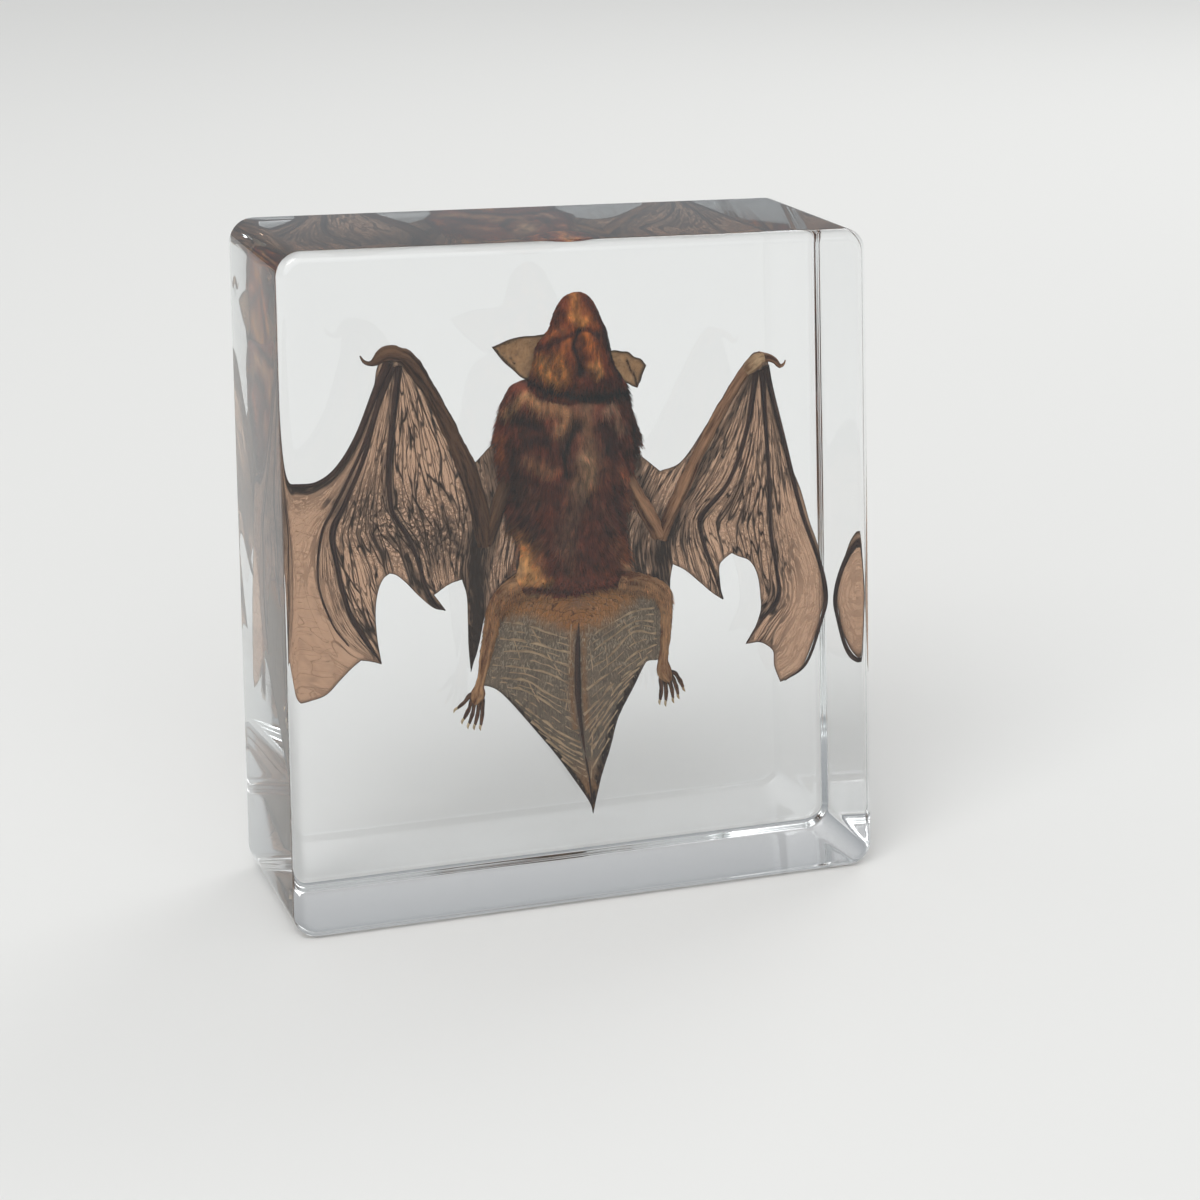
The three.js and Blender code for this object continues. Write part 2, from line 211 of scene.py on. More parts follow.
def makePiece(name, points, faces, material, uv=None, values=None):
    # A mesh piece from points in millimetres, with its UV map and painted values.
    mesh = bpy.data.meshes.new(name)
    mesh.from_pydata((np.array(points) * mm).tolist(), [], faces)
    if uv is not None:
        layer = mesh.uv_layers.new(name="fan")
        corners = np.empty(len(mesh.loops), int)
        mesh.loops.foreach_get("vertex_index", corners)
        layer.data.foreach_set("uv", np.asarray(uv)[corners].astype(np.float32).ravel())
    for key, value in (values or {}).items():
        mesh.attributes.new(key, "FLOAT", "POINT").data.foreach_set("value", np.asarray(value, np.float32))
    mesh.materials.append(material)
    mesh.shade_smooth()
    piece = bpy.data.objects.new(name, mesh)
    scene.collection.objects.link(piece)
    return piece


def makeSheet(name, outline, step, depthAt, thicknessAt, reliefAt, material, paint):
    # A closed thin sheet of the outline's shape, standing in the block.
    flat, faces = fillOutline(outline, step)
    uv, values = paint(flat)
    half = thicknessAt(flat) / 2
    middle = depthAt(flat[:, 1]) + reliefAt(flat, uv)
    front = np.stack([flat[:, 0], middle - half, flat[:, 1]], 1)
    back = np.stack([flat[:, 0], middle + half, flat[:, 1]], 1)
    edges = {(a, b) for face in faces for a, b in zip(face, face[1:] + face[:1])}
    rim = [(a, b) for a, b in edges if (b, a) not in edges]
    count = len(flat)
    walls = [(a, a + count, b + count, b) for a, b in rim]
    shell = faces + [tuple(v + count for v in reversed(face)) for face in faces] + walls
    doubled = {key: np.tile(value, 2) for key, value in values.items()}
    return makePiece(name, np.vstack([front, back]), shell, material, np.tile(uv, (2, 1)), doubled)


def giveCoat(piece, colours, share, comb):
    # What the fur on a piece grows from: its colour, how thickset it is and where it points.
    painted = {"coat": ("FLOAT_COLOR", "color", colours), "share": ("FLOAT", "value", share),
               "comb": ("FLOAT_VECTOR", "vector", comb)}
    for key, (kind, field, values) in painted.items():
        layer = piece.data.attributes.new(key, kind, "POINT")
        layer.data.foreach_set(field, np.asarray(values, np.float32).ravel())


def placesOf(piece):
    places = np.empty(len(piece.data.vertices) * 3)
    piece.data.vertices.foreach_get("co", places)
    return places.reshape(-1, 3) / mm


def finish(piece, slot, *nodes):
    if nodes:
        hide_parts(*nodes)
    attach(piece, "root")
    return piece


def grow(source, tree, inputs, name):
    # Runs a node tree on a piece and keeps its result as a plain mesh.
    modifier = source.modifiers.new(name, "NODES")
    modifier.node_group = tree
    for item in tree.interface.items_tree:
        if item.item_type == "SOCKET" and item.in_out == "INPUT" and item.name in inputs:
            modifier[item.identifier] = inputs[item.name]
    evaluated = source.evaluated_get(bpy.context.evaluated_depsgraph_get())
    mesh = bpy.data.meshes.new_from_object(evaluated)
    source.modifiers.remove(modifier)
    mesh.name = name
    piece = bpy.data.objects.new(name, mesh)
    scene.collection.objects.link(piece)
    return piece


# Cords: round strands along lines, with the thickness that each point holds.
cordTree, cordInput = newNodeGroup("cords along lines", {"Sides": "Int", "Finish": "Material"})
thick = addNode(cordTree, "GeometryNodeInputNamedAttribute", {"data_type": "FLOAT", "Name": "thick"})
cordLine = addNode(cordTree, "GeometryNodeMeshToCurve", {}, {"Mesh": cordInput})
travel = addNode(cordTree, "GeometryNodeSplineParameter")
cordRun = addNode(
    cordTree, "GeometryNodeStoreNamedAttribute", {"data_type": "FLOAT", "domain": "POINT", "Name": "along"},
    {"Geometry": cordLine, "Value": travel.outputs["Length"]},
)
section = addNode(
    cordTree, "GeometryNodeCurvePrimitiveCircle", {"Radius": 1.0},
    {"Resolution": cordInput.outputs["Sides"]},
)
spoke = addNode(cordTree, "GeometryNodeInputPosition")
sectionRound = addNode(
    cordTree, "GeometryNodeStoreNamedAttribute",
    {"data_type": "FLOAT_VECTOR", "domain": "POINT", "Name": "round"}, {"Geometry": section, "Value": spoke},
)
cordBody = addNode(
    cordTree, "GeometryNodeCurveToMesh", {"Fill Caps": True},
    {"Curve": cordRun, "Profile Curve": sectionRound, "Scale": thick},
)
endNodeGroup(cordTree, cordBody, cordInput.outputs["Finish"])

thinnestCord = 0.03


def makeCords(name, lines, depthAt, material, sides=8, step=0.5, lift=0.0, knobs=0.0):
    # lines: lists of [x, z, radius]; lift moves them towards the viewer, knobs makes them uneven.
    points, edges, radii = [], [], []
    for line in lines:
        run = spline(line, step)
        # swellings of 2 and 1 mm
        run[:, 2] *= 1 + knobs * (noiseAt(run, (0.45, 0.45), 6.1) + 0.6 * noiseAt(run, (1.3, 1.3), 2.9))
        first = len(points)
        points += [(x, float(depthAt(z)) - lift, z) for x, z, _ in run]
        radii += [max(radius, thinnestCord) * mm for radius in run[:, 2]]
        edges += [(i, i + 1) for i in range(first, len(points) - 1)]
    mesh = bpy.data.meshes.new(name + " lines")
    mesh.from_pydata((np.array(points) * mm).tolist(), edges, [])
    mesh.attributes.new("thick", "FLOAT", "POINT").data.foreach_set("value", radii)
    source = bpy.data.objects.new(name + " lines", mesh)
    scene.collection.objects.link(source)
    piece = grow(source, cordTree, {"Sides": sides, "Finish": material}, name)
    bpy.data.objects.remove(source)
    piece.data.shade_smooth()
    return piece


print("stage: tools ready")

# Resin block: clear polyester, cast, cut out of square, polished by hand, so its faces roll off at the edges.
resin = {
    "width": 99.5, "depth": 39.6, "leftHeight": 111.5, "rightHeight": 108.3, "leftLean": 2.6,
    "rightLean": 0.2, "cornerRadius": 4.0, "edgeRadius": 1.9, "rollWidth": 5.0, "rollDrop": 0.07,
    "arcSteps": 10, "edgeSteps": 10, "rollSteps": 8, "tightestCorner": 0.6,
}


def resinRing(inset):
    # The block's outline, moved inwards, as the same count of points for every inset.
    half = resin["width"] / 2
    corners = np.array([
        (-half, 0), (half, 0), (half - resin["rightLean"], resin["rightHeight"]),
        (-half + resin["leftLean"], resin["leftHeight"]),
    ])
    radius = max(resin["cornerRadius"] - inset, resin["tightestCorner"])
    ring = []
    for i in range(4):
        last = corners[i] - corners[i - 1]
        edge = corners[(i + 1) % 4] - corners[i]
        last, edge = last / np.linalg.norm(last), edge / np.linalg.norm(edge)
        inward = [np.array((-d[1], d[0])) for d in (last, edge)]
        turn = last[0] * edge[1] - last[1] * edge[0]
        lead = (inset + radius) * (1 + last @ edge) / turn
        centre = corners[i] + edge * lead + inward[1] * (inset + radius)
        start = math.atan2(-inward[0][1], -inward[0][0])
        sweep = math.asin(turn) if last @ edge > 0 else math.pi - math.asin(turn)
        for k in range(resin["arcSteps"] + 1):
            angle = start + sweep * k / resin["arcSteps"]
            ring.append(centre + radius * np.array((math.cos(angle), math.sin(angle))))
    return np.array(ring)


def resinProfile():
    # (inset from the sides, depth below the front face's middle), from the side to the front face.
    radius = resin["edgeRadius"]
    tight = [
        (radius * (1 - math.cos(a)), radius * (1 - math.sin(a)) + resin["rollDrop"])
        for a in np.linspace(0, math.pi / 2, resin["edgeSteps"] + 1)
    ]
    roll = [
        (radius + resin["rollWidth"] * s, resin["rollDrop"] * (1 - s) ** 2)
        for s in np.linspace(0, 1, resin["rollSteps"] + 1)[1:]
    ]
    return tight + roll


profile = resinProfile()
front = resin["depth"] / 2
rings = [(inset, -front + drop) for inset, drop in reversed(profile)]
rings += [(inset, front - drop) for inset, drop in profile]
ringSize = 4 * (resin["arcSteps"] + 1)
resinPoints = [(x, y, z) for inset, y in rings for x, z in resinRing(inset)]
resinFaces = [tuple(range(ringSize))]
for ring in range(len(rings) - 1):
    for k in range(ringSize):
        here, there = ring * ringSize, (ring + 1) * ringSize
        resinFaces.append((here + (k + 1) % ringSize, here + k, there + k, there + (k + 1) % ringSize))
resinFaces.append(tuple(reversed(range((len(rings) - 1) * ringSize, len(rings) * ringSize))))

# Polished cast polyester: glass-clear, with a faint cool grey over a long way through.
clearResin, tree = newMaterial("clear cast polyester, polished")
body = addNode(tree, "ShaderNodeBsdfPrincipled", {
    "Base Color": linear("#FFFFFF"), "Roughness": 0.0, "IOR": 1.535, "Transmission Weight": 1.0,
})
tint = addNode(tree, "ShaderNodeVolumeAbsorption", {"Color": linear("#F0F4F5"), "Density": 8.0})
addNode(tree, "ShaderNodeOutputMaterial", {}, {"Surface": body, "Volume": tint})

block = makePiece("resin_block", resinPoints, resinFaces, clearResin)
low = np.array(block.bound_box).min(0)
high = np.array(block.bound_box).max(0)
block.data.transform(Matrix.Translation((-(low[0] + high[0]) / 2, 0, -low[2])))
finish(block, "clear_resin", "resin_front", "resin_back")
print("stage: resin block")

# Thin dried skin: wrinkled, part see-through. The fan map runs u across the fingers and v along them, in mm.
skinRule = {
    "bend": 1.3, "foldWidens": 1.6, "lineCore": 0.3, "rimShare": 0.85, "frayReach": 0.9, "foldFrom": 0.8,
    "foldTo": 1.35, "dashSize": (3.6, 1.2, 1.0), "dashFrom": 0.5, "dashTo": 0.62, "grain": 260.0,
    "solidCover": 0.97,
}


def skinMaterial(name, look):
    material, tree = newMaterial(name)
    uv = addNode(tree, "ShaderNodeUVMap", {"uv_map": "fan"})
    fold = addNode(tree, "ShaderNodeAttribute", {"attribute_name": "fold"})

    def patternAt(stretch, detail):
        scaled = addNode(tree, "ShaderNodeVectorMath", {"operation": "MULTIPLY", 1: stretch}, {0: uv})
        wave = addNode(
            tree, "ShaderNodeTexNoise",
            {"noise_dimensions": "2D", "Scale": 1.0, "Detail": detail, "Roughness": 0.5}, {"Vector": scaled},
        )
        return scaled, wave

    masks = []
    for kind, stretch, width, share, where in look["wrinkles"]:
        scaled, wave = patternAt(stretch, 1.2)
        if kind == "cells":  # a net of creases, drawn out along the fingers
            bent = addNode(
                tree, "ShaderNodeVectorMath",
                {"operation": "MULTIPLY_ADD", 1: (skinRule["bend"], skinRule["bend"], 0.0)},
                {0: wave.outputs["Color"], 2: scaled},
            )
            level = addNode(
                tree, "ShaderNodeTexVoronoi",
                {"voronoi_dimensions": "2D", "feature": "DISTANCE_TO_EDGE", "Scale": 1.0}, {"Vector": bent},
            )
        else:  # long single lines
            centred = addNode(tree, "ShaderNodeMath", {"operation": "SUBTRACT", 1: 0.5}, {0: wave})
            level = addNode(tree, "ShaderNodeMath", {"operation": "ABSOLUTE"}, {0: centred})
        widened = {"operation": "MULTIPLY_ADD", 1: width * skinRule["foldWidens"], 2: width}
        spread = addNode(tree, "ShaderNodeMath", widened, {0: fold.outputs["Fac"]})
        line = addNode(
            tree, "ShaderNodeMapRange",
            {"interpolation_type": "SMOOTHSTEP", "From Min": width * skinRule["lineCore"], "To Min": share,
             "To Max": 0.0},
            {"Value": level, "From Max": spread},
        )
        amount = addNode(tree, "ShaderNodeAttribute", {"attribute_name": where})
        masks.append(
            addNode(tree, "ShaderNodeMath", {"operation": "MULTIPLY"}, {0: line, 1: amount.outputs["Fac"]}),
        )
    rim = addNode(tree, "ShaderNodeAttribute", {"attribute_name": "rim"})
    dark = addNode(
        tree, "ShaderNodeMath", {"operation": "MULTIPLY", 1: skinRule["rimShare"]}, {0: rim.outputs["Fac"]},
    )
    _, fray = patternAt(look["fray"], 2.0)  # folds end in streaks
    frayed = addNode(
        tree, "ShaderNodeMath", {"operation": "MULTIPLY_ADD", 1: skinRule["frayReach"]},
        {0: fray, 2: fold.outputs["Fac"]},
    )
    bundle = {"From Min": skinRule["foldFrom"], "From Max": skinRule["foldTo"], "To Max": look["foldShare"]}
    thickSkin = addNode(
        tree, "ShaderNodeMapRange", {"interpolation_type": "SMOOTHSTEP", **bundle}, {"Value": frayed},
    )
    for mask in masks + [thickSkin]:
        dark = addNode(tree, "ShaderNodeMath", {"operation": "MAXIMUM"}, {0: dark, 1: mask})
    place = addNode(tree, "ShaderNodeTexCoord")
    mottle = addNode(
        tree, "ShaderNodeTexNoise",  # 1 to 4 mm blotches
        {"Scale": look.get("grain", skinRule["grain"]), "Detail": 3.0, "Roughness": 0.6},
        {"Vector": place.outputs["Object"]},
    )
    tones = {"data_type": "RGBA", 6: linear(look["pale"]), 7: linear(look["deep"])}
    ground = addNode(tree, "ShaderNodeMix", tones, {0: mottle})
    flush = addNode(tree, "ShaderNodeAttribute", {"attribute_name": "flush"})
    warmed = addNode(
        tree, "ShaderNodeMix", {"data_type": "RGBA", 7: linear(look.get("warm", look["pale"]))},
        {0: flush.outputs["Fac"], 6: ground.outputs[2]},
    )
    solidShare = dark
    if "fleck" in look:  # short pale dashes of down and muscle in the skin
        _, dashes = patternAt(skinRule["dashSize"], 2.0)
        sharpened = {"From Min": skinRule["dashFrom"], "From Max": skinRule["dashTo"]}
        dash = addNode(
            tree, "ShaderNodeMapRange", {"interpolation_type": "SMOOTHSTEP", **sharpened},
            {"Value": dashes},
        )
        downy = addNode(tree, "ShaderNodeAttribute", {"attribute_name": "fleck"})
        paler = addNode(tree, "ShaderNodeMath", {"operation": "MULTIPLY"}, {0: dash, 1: downy.outputs["Fac"]})
        warmed = addNode(
            tree, "ShaderNodeMix", {"data_type": "RGBA", 7: linear(look["fleck"])},
            {0: paler, 6: warmed.outputs[2]},
        )
        solidShare = addNode(tree, "ShaderNodeMath", {"operation": "MAXIMUM"}, {0: dark, 1: paler})
    colour = addNode(
        tree, "ShaderNodeMix", {"data_type": "RGBA", 7: linear(look["wrinkle"])},
        {0: dark, 6: warmed.outputs[2]},
    )
    lit = dullSurface(tree, colour.outputs[2], 0.6, 0.08, look["glow"])
    cover = addNode(
        tree, "ShaderNodeMapRange", {"To Min": look["cover"], "To Max": skinRule["solidCover"]},
        {"Value": solidShare},
    )
    film = addNode(tree, "ShaderNodeBsdfTransparent", {"Color": linear(look["film"])})
    mixed = addNode(tree, "ShaderNodeMixShader", {}, {0: cover, 1: film, 2: lit})
    addNode(tree, "ShaderNodeOutputMaterial", {}, {"Surface": mixed})
    return material


# Dried skin over bone: streaked along the limb, and it lets a little light through. Across counts streaks
# round the limb, and spacing is their length in metres.
def hideMaterial(name, pale, deep, across=1.5, spacing=0.008):
    material, tree = newMaterial(name)
    spoke = addNode(tree, "ShaderNodeAttribute", {"attribute_name": "round"})
    run = addNode(tree, "ShaderNodeAttribute", {"attribute_name": "along"})
    girth = addNode(
        tree, "ShaderNodeVectorMath", {"operation": "SCALE", "Scale": across}, {0: spoke.outputs["Vector"]},
    )
    steps = addNode(tree, "ShaderNodeMath", {"operation": "DIVIDE", 1: spacing}, {0: run.outputs["Fac"]})
    drift = addNode(tree, "ShaderNodeCombineXYZ", {}, {"Z": steps})
    spot = addNode(tree, "ShaderNodeVectorMath", {"operation": "ADD"}, {0: girth, 1: drift})
    streak = addNode(
        tree, "ShaderNodeTexNoise", {"Scale": 1.0, "Detail": 4.0, "Roughness": 0.62}, {"Vector": spot},
    )
    # Pale to deep across the streaks: the skin's own grain, and on the arms and shins also a painted
    # highlight and painted shade along the limb's sides.
    shade = addNode(tree, "ShaderNodeMapRange", {"From Min": 0.34, "From Max": 0.64}, {"Value": streak})
    colour = addNode(
        tree, "ShaderNodeMix", {"data_type": "RGBA", 6: linear(pale), 7: linear(deep)}, {0: shade},
    )
    lit = dullSurface(tree, colour.outputs[2], 0.55, 0.1, 0.25)
    addNode(tree, "ShaderNodeOutputMaterial", {}, {"Surface": lit})
    return material


wingSkin = skinMaterial("thin dried wing skin, wrinkled", {
    "pale": "#EAC8AC", "deep": "#BC9276", "wrinkle": "#150E12", "film": "#F2DCCA", "cover": 0.27, "glow": 0.5,
    "foldShare": 0.93, "fray": (15.0, 0.4, 1.0),
    "wrinkles": [
        ("cells", (8.0, 0.1, 1.0), 0.09, 0.94, "crease"), ("cells", (17.0, 0.17, 1.0), 0.08, 0.75, "crease"),
        ("lines", (5.0, 0.05, 1.0), 0.035, 0.9, "crease"), ("cells", (12.0, 0.8, 1.0), 0.13, 0.92, "net"),
        ("cells", (24.0, 1.4, 1.0), 0.12, 0.7, "net"), ("lines", (1.2, 0.9, 1.0), 0.006, 0.4, "arc"),
        ("lines", (9.0, 0.05, 1.0), 0.012, 0.32, "arc"), ("cells", (9.0, 0.35, 1.0), 0.03, 0.28, "arc"),
    ],
})
earSkin = skinMaterial("thin dried ear skin", {
    "pale": "#F0C89A", "deep": "#805A3C", "wrinkle": "#241410", "film": "#E6CDAE", "cover": 0.5, "glow": 0.45,
    "foldShare": 0.9, "fray": (3.0, 3.0, 1.0), "grain": 800.0,
    "wrinkles": [("lines", (1.1, 0.6, 1.0), 0.03, 0.5, "crease"),
                 ("cells", (1.6, 1.3, 1.0), 0.06, 0.3, "crease")],
})
tailSkin = skinMaterial("thin dried tail skin, downy", {
    "pale": "#A8947E", "deep": "#6C6056", "wrinkle": "#2B1A16", "film": "#CDBFB2", "cover": 0.74,
    "glow": 0.35, "foldShare": 0.95, "warm": "#D08E4E", "fleck": "#BFAE94", "grain": 420.0,
    "fray": (1.8, 0.5, 1.0),
    "wrinkles": [("lines", (2.2, 0.22, 1.0), 0.022, 0.5, "crease"),
                 ("cells", (0.9, 0.35, 1.0), 0.05, 0.35, "crease"),
                 ("cells", (0.75, 0.8, 1.0), 0.07, 0.75, "flush")],
})
fingerSkin = hideMaterial("dried skin over finger bone", "#5A4034", "#22161A")
# Arm skin: the left arm's copy is painted darker, as painted shade; it is the same skin as the right arm's.
armSkin = {
    "left": hideMaterial("dried skin over arm bone, painted darker as shade", "#7C583E", "#36221A"),
    "right": hideMaterial("dried skin over arm bone", "#C6946E", "#52301F"),
}
legSkin = hideMaterial("dried skin over shin bone", "#D2A070", "#6A3C22", 1.8, 0.004)
knuckleSkin = hideMaterial("dried skin over the wrist", "#D8B48A", "#8A6444", 1.6, 0.002)
toeSkin = hideMaterial("dried toe skin", "#7A5238", "#2A1A18", 1.0, 0.003)
clawHorn = hideMaterial("claw horn", "#E6D2AC", "#B8946A")
tailRib = hideMaterial("raised tail rib", "#DCC09C", "#9E8266", 0.6, 0.0016)

wings = {
    "left": {
        "outline": [
            [-8.5, 75.6], [-10.3, 75.4], [-13.2, 72.6], [-16.3, 77.9], [-20.8, 85.9], [-24.3, 92.2],
            [-27.3, 93], [-29.2, 90.5], [-29.9, 87], [-31.1, 83.1], [-32.4, 79.9], [-33.8, 77.4],
            [-35.9, 74.5], [-38.6, 72.1], [-41.4, 71.6], [-44.4, 72.1], [-45.9, 71.2], [-46.4, 67],
            [-46.6, 58], [-46.4, 46], [-45, 37], [-43.1, 33.3], [-41.2, 33.7], [-38.6, 34.5], [-36.3, 36.8],
            [-34.4, 38.7], [-32.7, 40], [-31, 39.6], [-29.2, 38.9], [-29.9, 43.8], [-30.1, 48.1],
            [-29.7, 51.6], [-28.8, 53.9], [-27.7, 54.8], [-26.6, 54.4], [-25, 52.9], [-22.8, 50.3],
            [-20.3, 47.9], [-18.2, 47.2], [-20.2, 50.2], [-17.7, 51.8], [-15.5, 52.4], [-14.7, 49.4],
            [-14.5, 44.9], [-14.4, 40.4], [-14, 35.6], [-12.6, 40.6], [-11.4, 46], [-9, 50.5], [-5, 54],
            [-4, 62], [-5, 70],
        ],
        "rays": [
            [[-27.4, 91.2], [-29.3, 86.5], [-32.6, 78.6], [-36, 73.6], [-39.4, 71.2], [-43, 71], [-48, 71.4]],
            [[-27.2, 91], [-31.2, 78.6], [-33.8, 72.8], [-36.6, 67.4], [-38.8, 62.8], [-39.5, 54.5],
             [-37.4, 47.1],
             [-34.7, 42.8], [-31.8, 40.4]],
            [[-26.8, 90.8], [-28, 89], [-29.3, 83.6], [-31.7, 75.2], [-34.9, 67.7], [-37, 63.3],
             [-36.6, 58.2],
             [-34.6, 49.1], [-31.7, 43.3], [-29.6, 39.4]],
            [[-26.2, 90.8], [-25.9, 89.2], [-26.8, 81.2], [-27.6, 73.9], [-27.4, 66.9], [-26.5, 64.2],
             [-23.8, 59.1], [-21.7, 52.1], [-20, 48.6], [-18.5, 47.3]],
            [[-25.4, 90.8], [-22, 86], [-18, 77], [-15.4, 68], [-14.5, 61], [-15.4, 54], [-14.8, 46],
             [-14.2, 36]],
        ],
        "calm": [
            [[[-43.5, 67], [-44.6, 52], [-43, 36]], 4.8, 0.95],
            [[[-41.5, 52], [-40.6, 44], [-38.4, 37.5]], 3.8, 0.95],
            [[[-29, 84], [-33, 76], [-37, 70]], 1.6, 0.4],
        ],
        "net": [[[[-31, 66], [-25, 62], [-19, 60]], 6.5, 1.0],
                [[[-13, 72], [-12, 62], [-12.5, 52]], 3.4, 0.9], [[[-44, 68], [-40, 69]], 2.0, 0.5]],
        "folds": [  # where the skin lies bundled: line, half width, strength
            [[[-28.6, 88], [-30.8, 83.6], [-32.8, 78.4], [-35.2, 74.4], [-37.6, 71.9], [-40, 70.6],
              [-43, 71], [-46, 71]], 1.15, 0.9],
            [[[-13, 60], [-13.2, 55], [-13, 51], [-12.9, 46.4], [-13.2, 40], [-13.6, 35.5]], 2.0, 1.0],
            [[[-12, 66], [-12.6, 60], [-14, 56.5]], 1.9, 0.5],
            [[[-24.8, 57.5], [-22.6, 51.4], [-20.2, 48.5], [-18.4, 47.3]], 0.8, 0.85],
            [[[-27.2, 86], [-27.8, 74], [-27.6, 67], [-26, 62.5], [-24.2, 58]], 0.75, 0.5],
            [[[-18.8, 65.4], [-17.4, 60.6], [-14.6, 57]], 0.7, 0.8],
            [[[-20.6, 60.5], [-18.6, 58.4], [-15.4, 56.6]], 0.5, 0.75],
            [[[-20, 70], [-17.8, 62], [-20, 56]], 1.3, 0.25],
            [[[-23.5, 68], [-22.4, 60], [-24, 56]], 1.0, 0.25],
            [[[-10.6, 73.5], [-10.4, 66], [-10.2, 58]], 1.2, 0.62],
            [[[-38.4, 63.4], [-40.2, 58.6], [-40, 52], [-38, 47]], 0.5, 0.3],
            [[[-36.8, 60], [-35, 50.5], [-32.4, 44.5], [-30, 40]], 0.7, 0.4],
        ],
    },
    "right": {
        "outline": [
            [12, 72.5], [14.8, 71.1], [18.4, 68], [22.1, 69.4], [26.3, 75.4], [30, 81.2], [33.5, 86.5],
            [35, 87.2], [36.5, 86], [36.9, 83.1], [37.8, 78.7], [39, 73.2], [40.8, 68.1], [43.2, 62.6],
            [45.2, 56.4], [47.1, 51], [48.4, 42.6], [47.9, 39], [47.5, 36.8], [46.7, 34.2], [45.6, 31.2],
            [44.6, 29.4], [42, 27.8], [41, 27.4], [39.8, 30.5], [39.5, 33.2], [38.2, 34.6], [36.7, 35.3],
            [34.4, 35.2], [35.4, 36.5], [36.8, 40.3], [36.9, 43.2], [36.2, 47.5], [34.7, 50.3],
            [32.6, 51.4], [31.4, 52.1], [30.1, 51.2], [29.3, 50], [29.5, 47.1], [30.1, 43.8], [28.1, 45.3],
            [26, 47.3], [23.2, 49.9], [21, 51.2], [20.7, 49.4], [20.6, 46.8], [18.4, 47.2], [15, 48.8],
            [12, 51.4], [11, 55], [11, 62],
        ],
        "rays": [
            [[36.4, 84.5], [37.3, 80.5], [39.6, 72.5], [43.5, 58.8], [47.3, 48.7], [48.8, 42.4], [48, 37.8],
             [45.6, 30.2], [41.8, 27.5]],
            [[35.9, 84.5], [36.2, 82.6], [37.3, 68], [38.2, 56], [39.5, 48.6], [40, 43.2], [37, 39.1],
             [34.7, 35.4]],
            [[35.3, 84.5], [34.1, 82.3], [33.4, 74], [30.4, 64.9], [26, 59.6], [25.8, 56.3], [27.5, 51.3],
             [30, 44.4]],
            [[34.6, 84.8], [31.5, 80], [26.5, 70.5], [22.3, 62], [20.4, 56], [21, 51], [21.5, 48]],
        ],
        "calm": [[[[45.5, 60], [46.4, 46], [43.5, 32]], 4.2, 0.75]],
        "net": [[[[30, 62], [38, 52]], 5.0, 0.4], [[[16, 62], [22, 56]], 4.0, 0.7]],
        "folds": [
            [[[20.8, 59], [19.6, 55], [18.8, 51.6], [18.6, 48.4]], 2.1, 0.9],
            [[[15.6, 58], [15, 54], [15.4, 50.4]], 1.8, 0.72],
            [[[21.4, 58.5], [24.2, 64.5], [28, 72], [31.4, 78.4], [34, 82.8]], 1.1, 0.7],
            [[[30.6, 65], [26.4, 60], [26, 56.3], [27.7, 51.3], [30, 45]], 0.6, 0.55],
            [[[31.7, 52.8], [35.2, 49], [36.8, 44], [37.2, 40], [35.6, 37.3]], 0.7, 0.6],
            [[[37.3, 80.5], [39.9, 71.5], [43.8, 58.6], [47.2, 48.7]], 0.7, 0.4],
            [[[14.4, 70], [16, 64], [17.4, 57], [16.6, 51.8]], 1.2, 0.68],
            [[[17.8, 67.5], [18.2, 62], [19, 58.4]], 0.6, 0.5],
            [[[34.6, 83], [32.8, 77], [29.8, 70]], 0.6, 0.4],
            [[[40.2, 42.4], [38, 40], [35.4, 36.4]], 0.6, 0.5],
        ],
    },
}
membrane = {
    "step": 0.3, "outlineStep": 0.4, "thickness": 0.34, "edgeThickness": 0.14, "edgeWidth": 0.8,
    "rimWidth": 0.3, "relief": 0.26, "beyondScale": 6.0,
}


def fanMap(points, rays):
    # u counts the fingers that a point lies past, with its share of the way to the next; v is its distance
    # from the wrist.
    lines = [spline(ray, 0.6) for ray in rays]
    away, side = zip(*[nearest(points, line) for line in lines])
    away, side = np.array(away), np.array(side)
    u = np.zeros(len(points))
    order = side > 0 if rays[0][-1][0] < 0 else side < 0  # the points past each line, on the way to the body
    for i, k in enumerate(order.sum(0)):
        if k == 0:
            u[i] = -away[0, i] / membrane["beyondScale"]
        elif k == len(rays):
            u[i] = len(rays) - 1 + away[-1, i] / membrane["beyondScale"]
        else:
            near, far = away[k - 1, i], away[k, i]
            u[i] = k - 1 + near / max(near + far, 1e-6)
    wrist = np.array(rays[0][0])
    return np.stack([u, np.linalg.norm(points - wrist, axis=1)], 1)


def foldMap(points, folds):
    # The strongest of the marks at each point, from 0 to 1.
    fold = np.zeros(len(points))
    for mask, (_, _, strength) in zip(alongMarks(points, folds, 3), folds):
        fold = np.maximum(fold, strength * mask)
    return fold


def makeWing(side, spec):
    outline = smoothOutline(spec["outline"], membrane["outlineStep"])

    def paint(flat):
        rim = np.exp(-nearest(flat, outline, True)[0] / membrane["rimWidth"])
        calm = foldMap(flat, spec["calm"])
        values = {"fold": foldMap(flat, spec["folds"]), "rim": rim, "crease": 1 - calm, "arc": calm}
        return fanMap(flat, spec["rays"]), values | {"net": foldMap(flat, spec["net"])}

    def thicknessAt(flat):
        edge = np.clip(nearest(flat, outline, True)[0] / membrane["edgeWidth"], 0, 1)
        return membrane["edgeThickness"] + (membrane["thickness"] - membrane["edgeThickness"]) * edge

    def reliefAt(flat, uv):
        ridge = 0.5 - np.abs(noiseAt(uv, (8.0, 0.06), 3.1)) + 0.5 * noiseAt(uv, (16.0, 0.12), 7.7)
        return membrane["relief"] * ridge * (1 + foldMap(flat, spec["folds"]))

    piece = makeSheet(
        f"wing_{side}_skin", outline, membrane["step"], wingDepth, thicknessAt, reliefAt, wingSkin, paint,
    )
    finish(piece, "wing_skin", f"wing_{side}")


for side, spec in wings.items():
    makeWing(side, spec)
print("stage: wing skins")

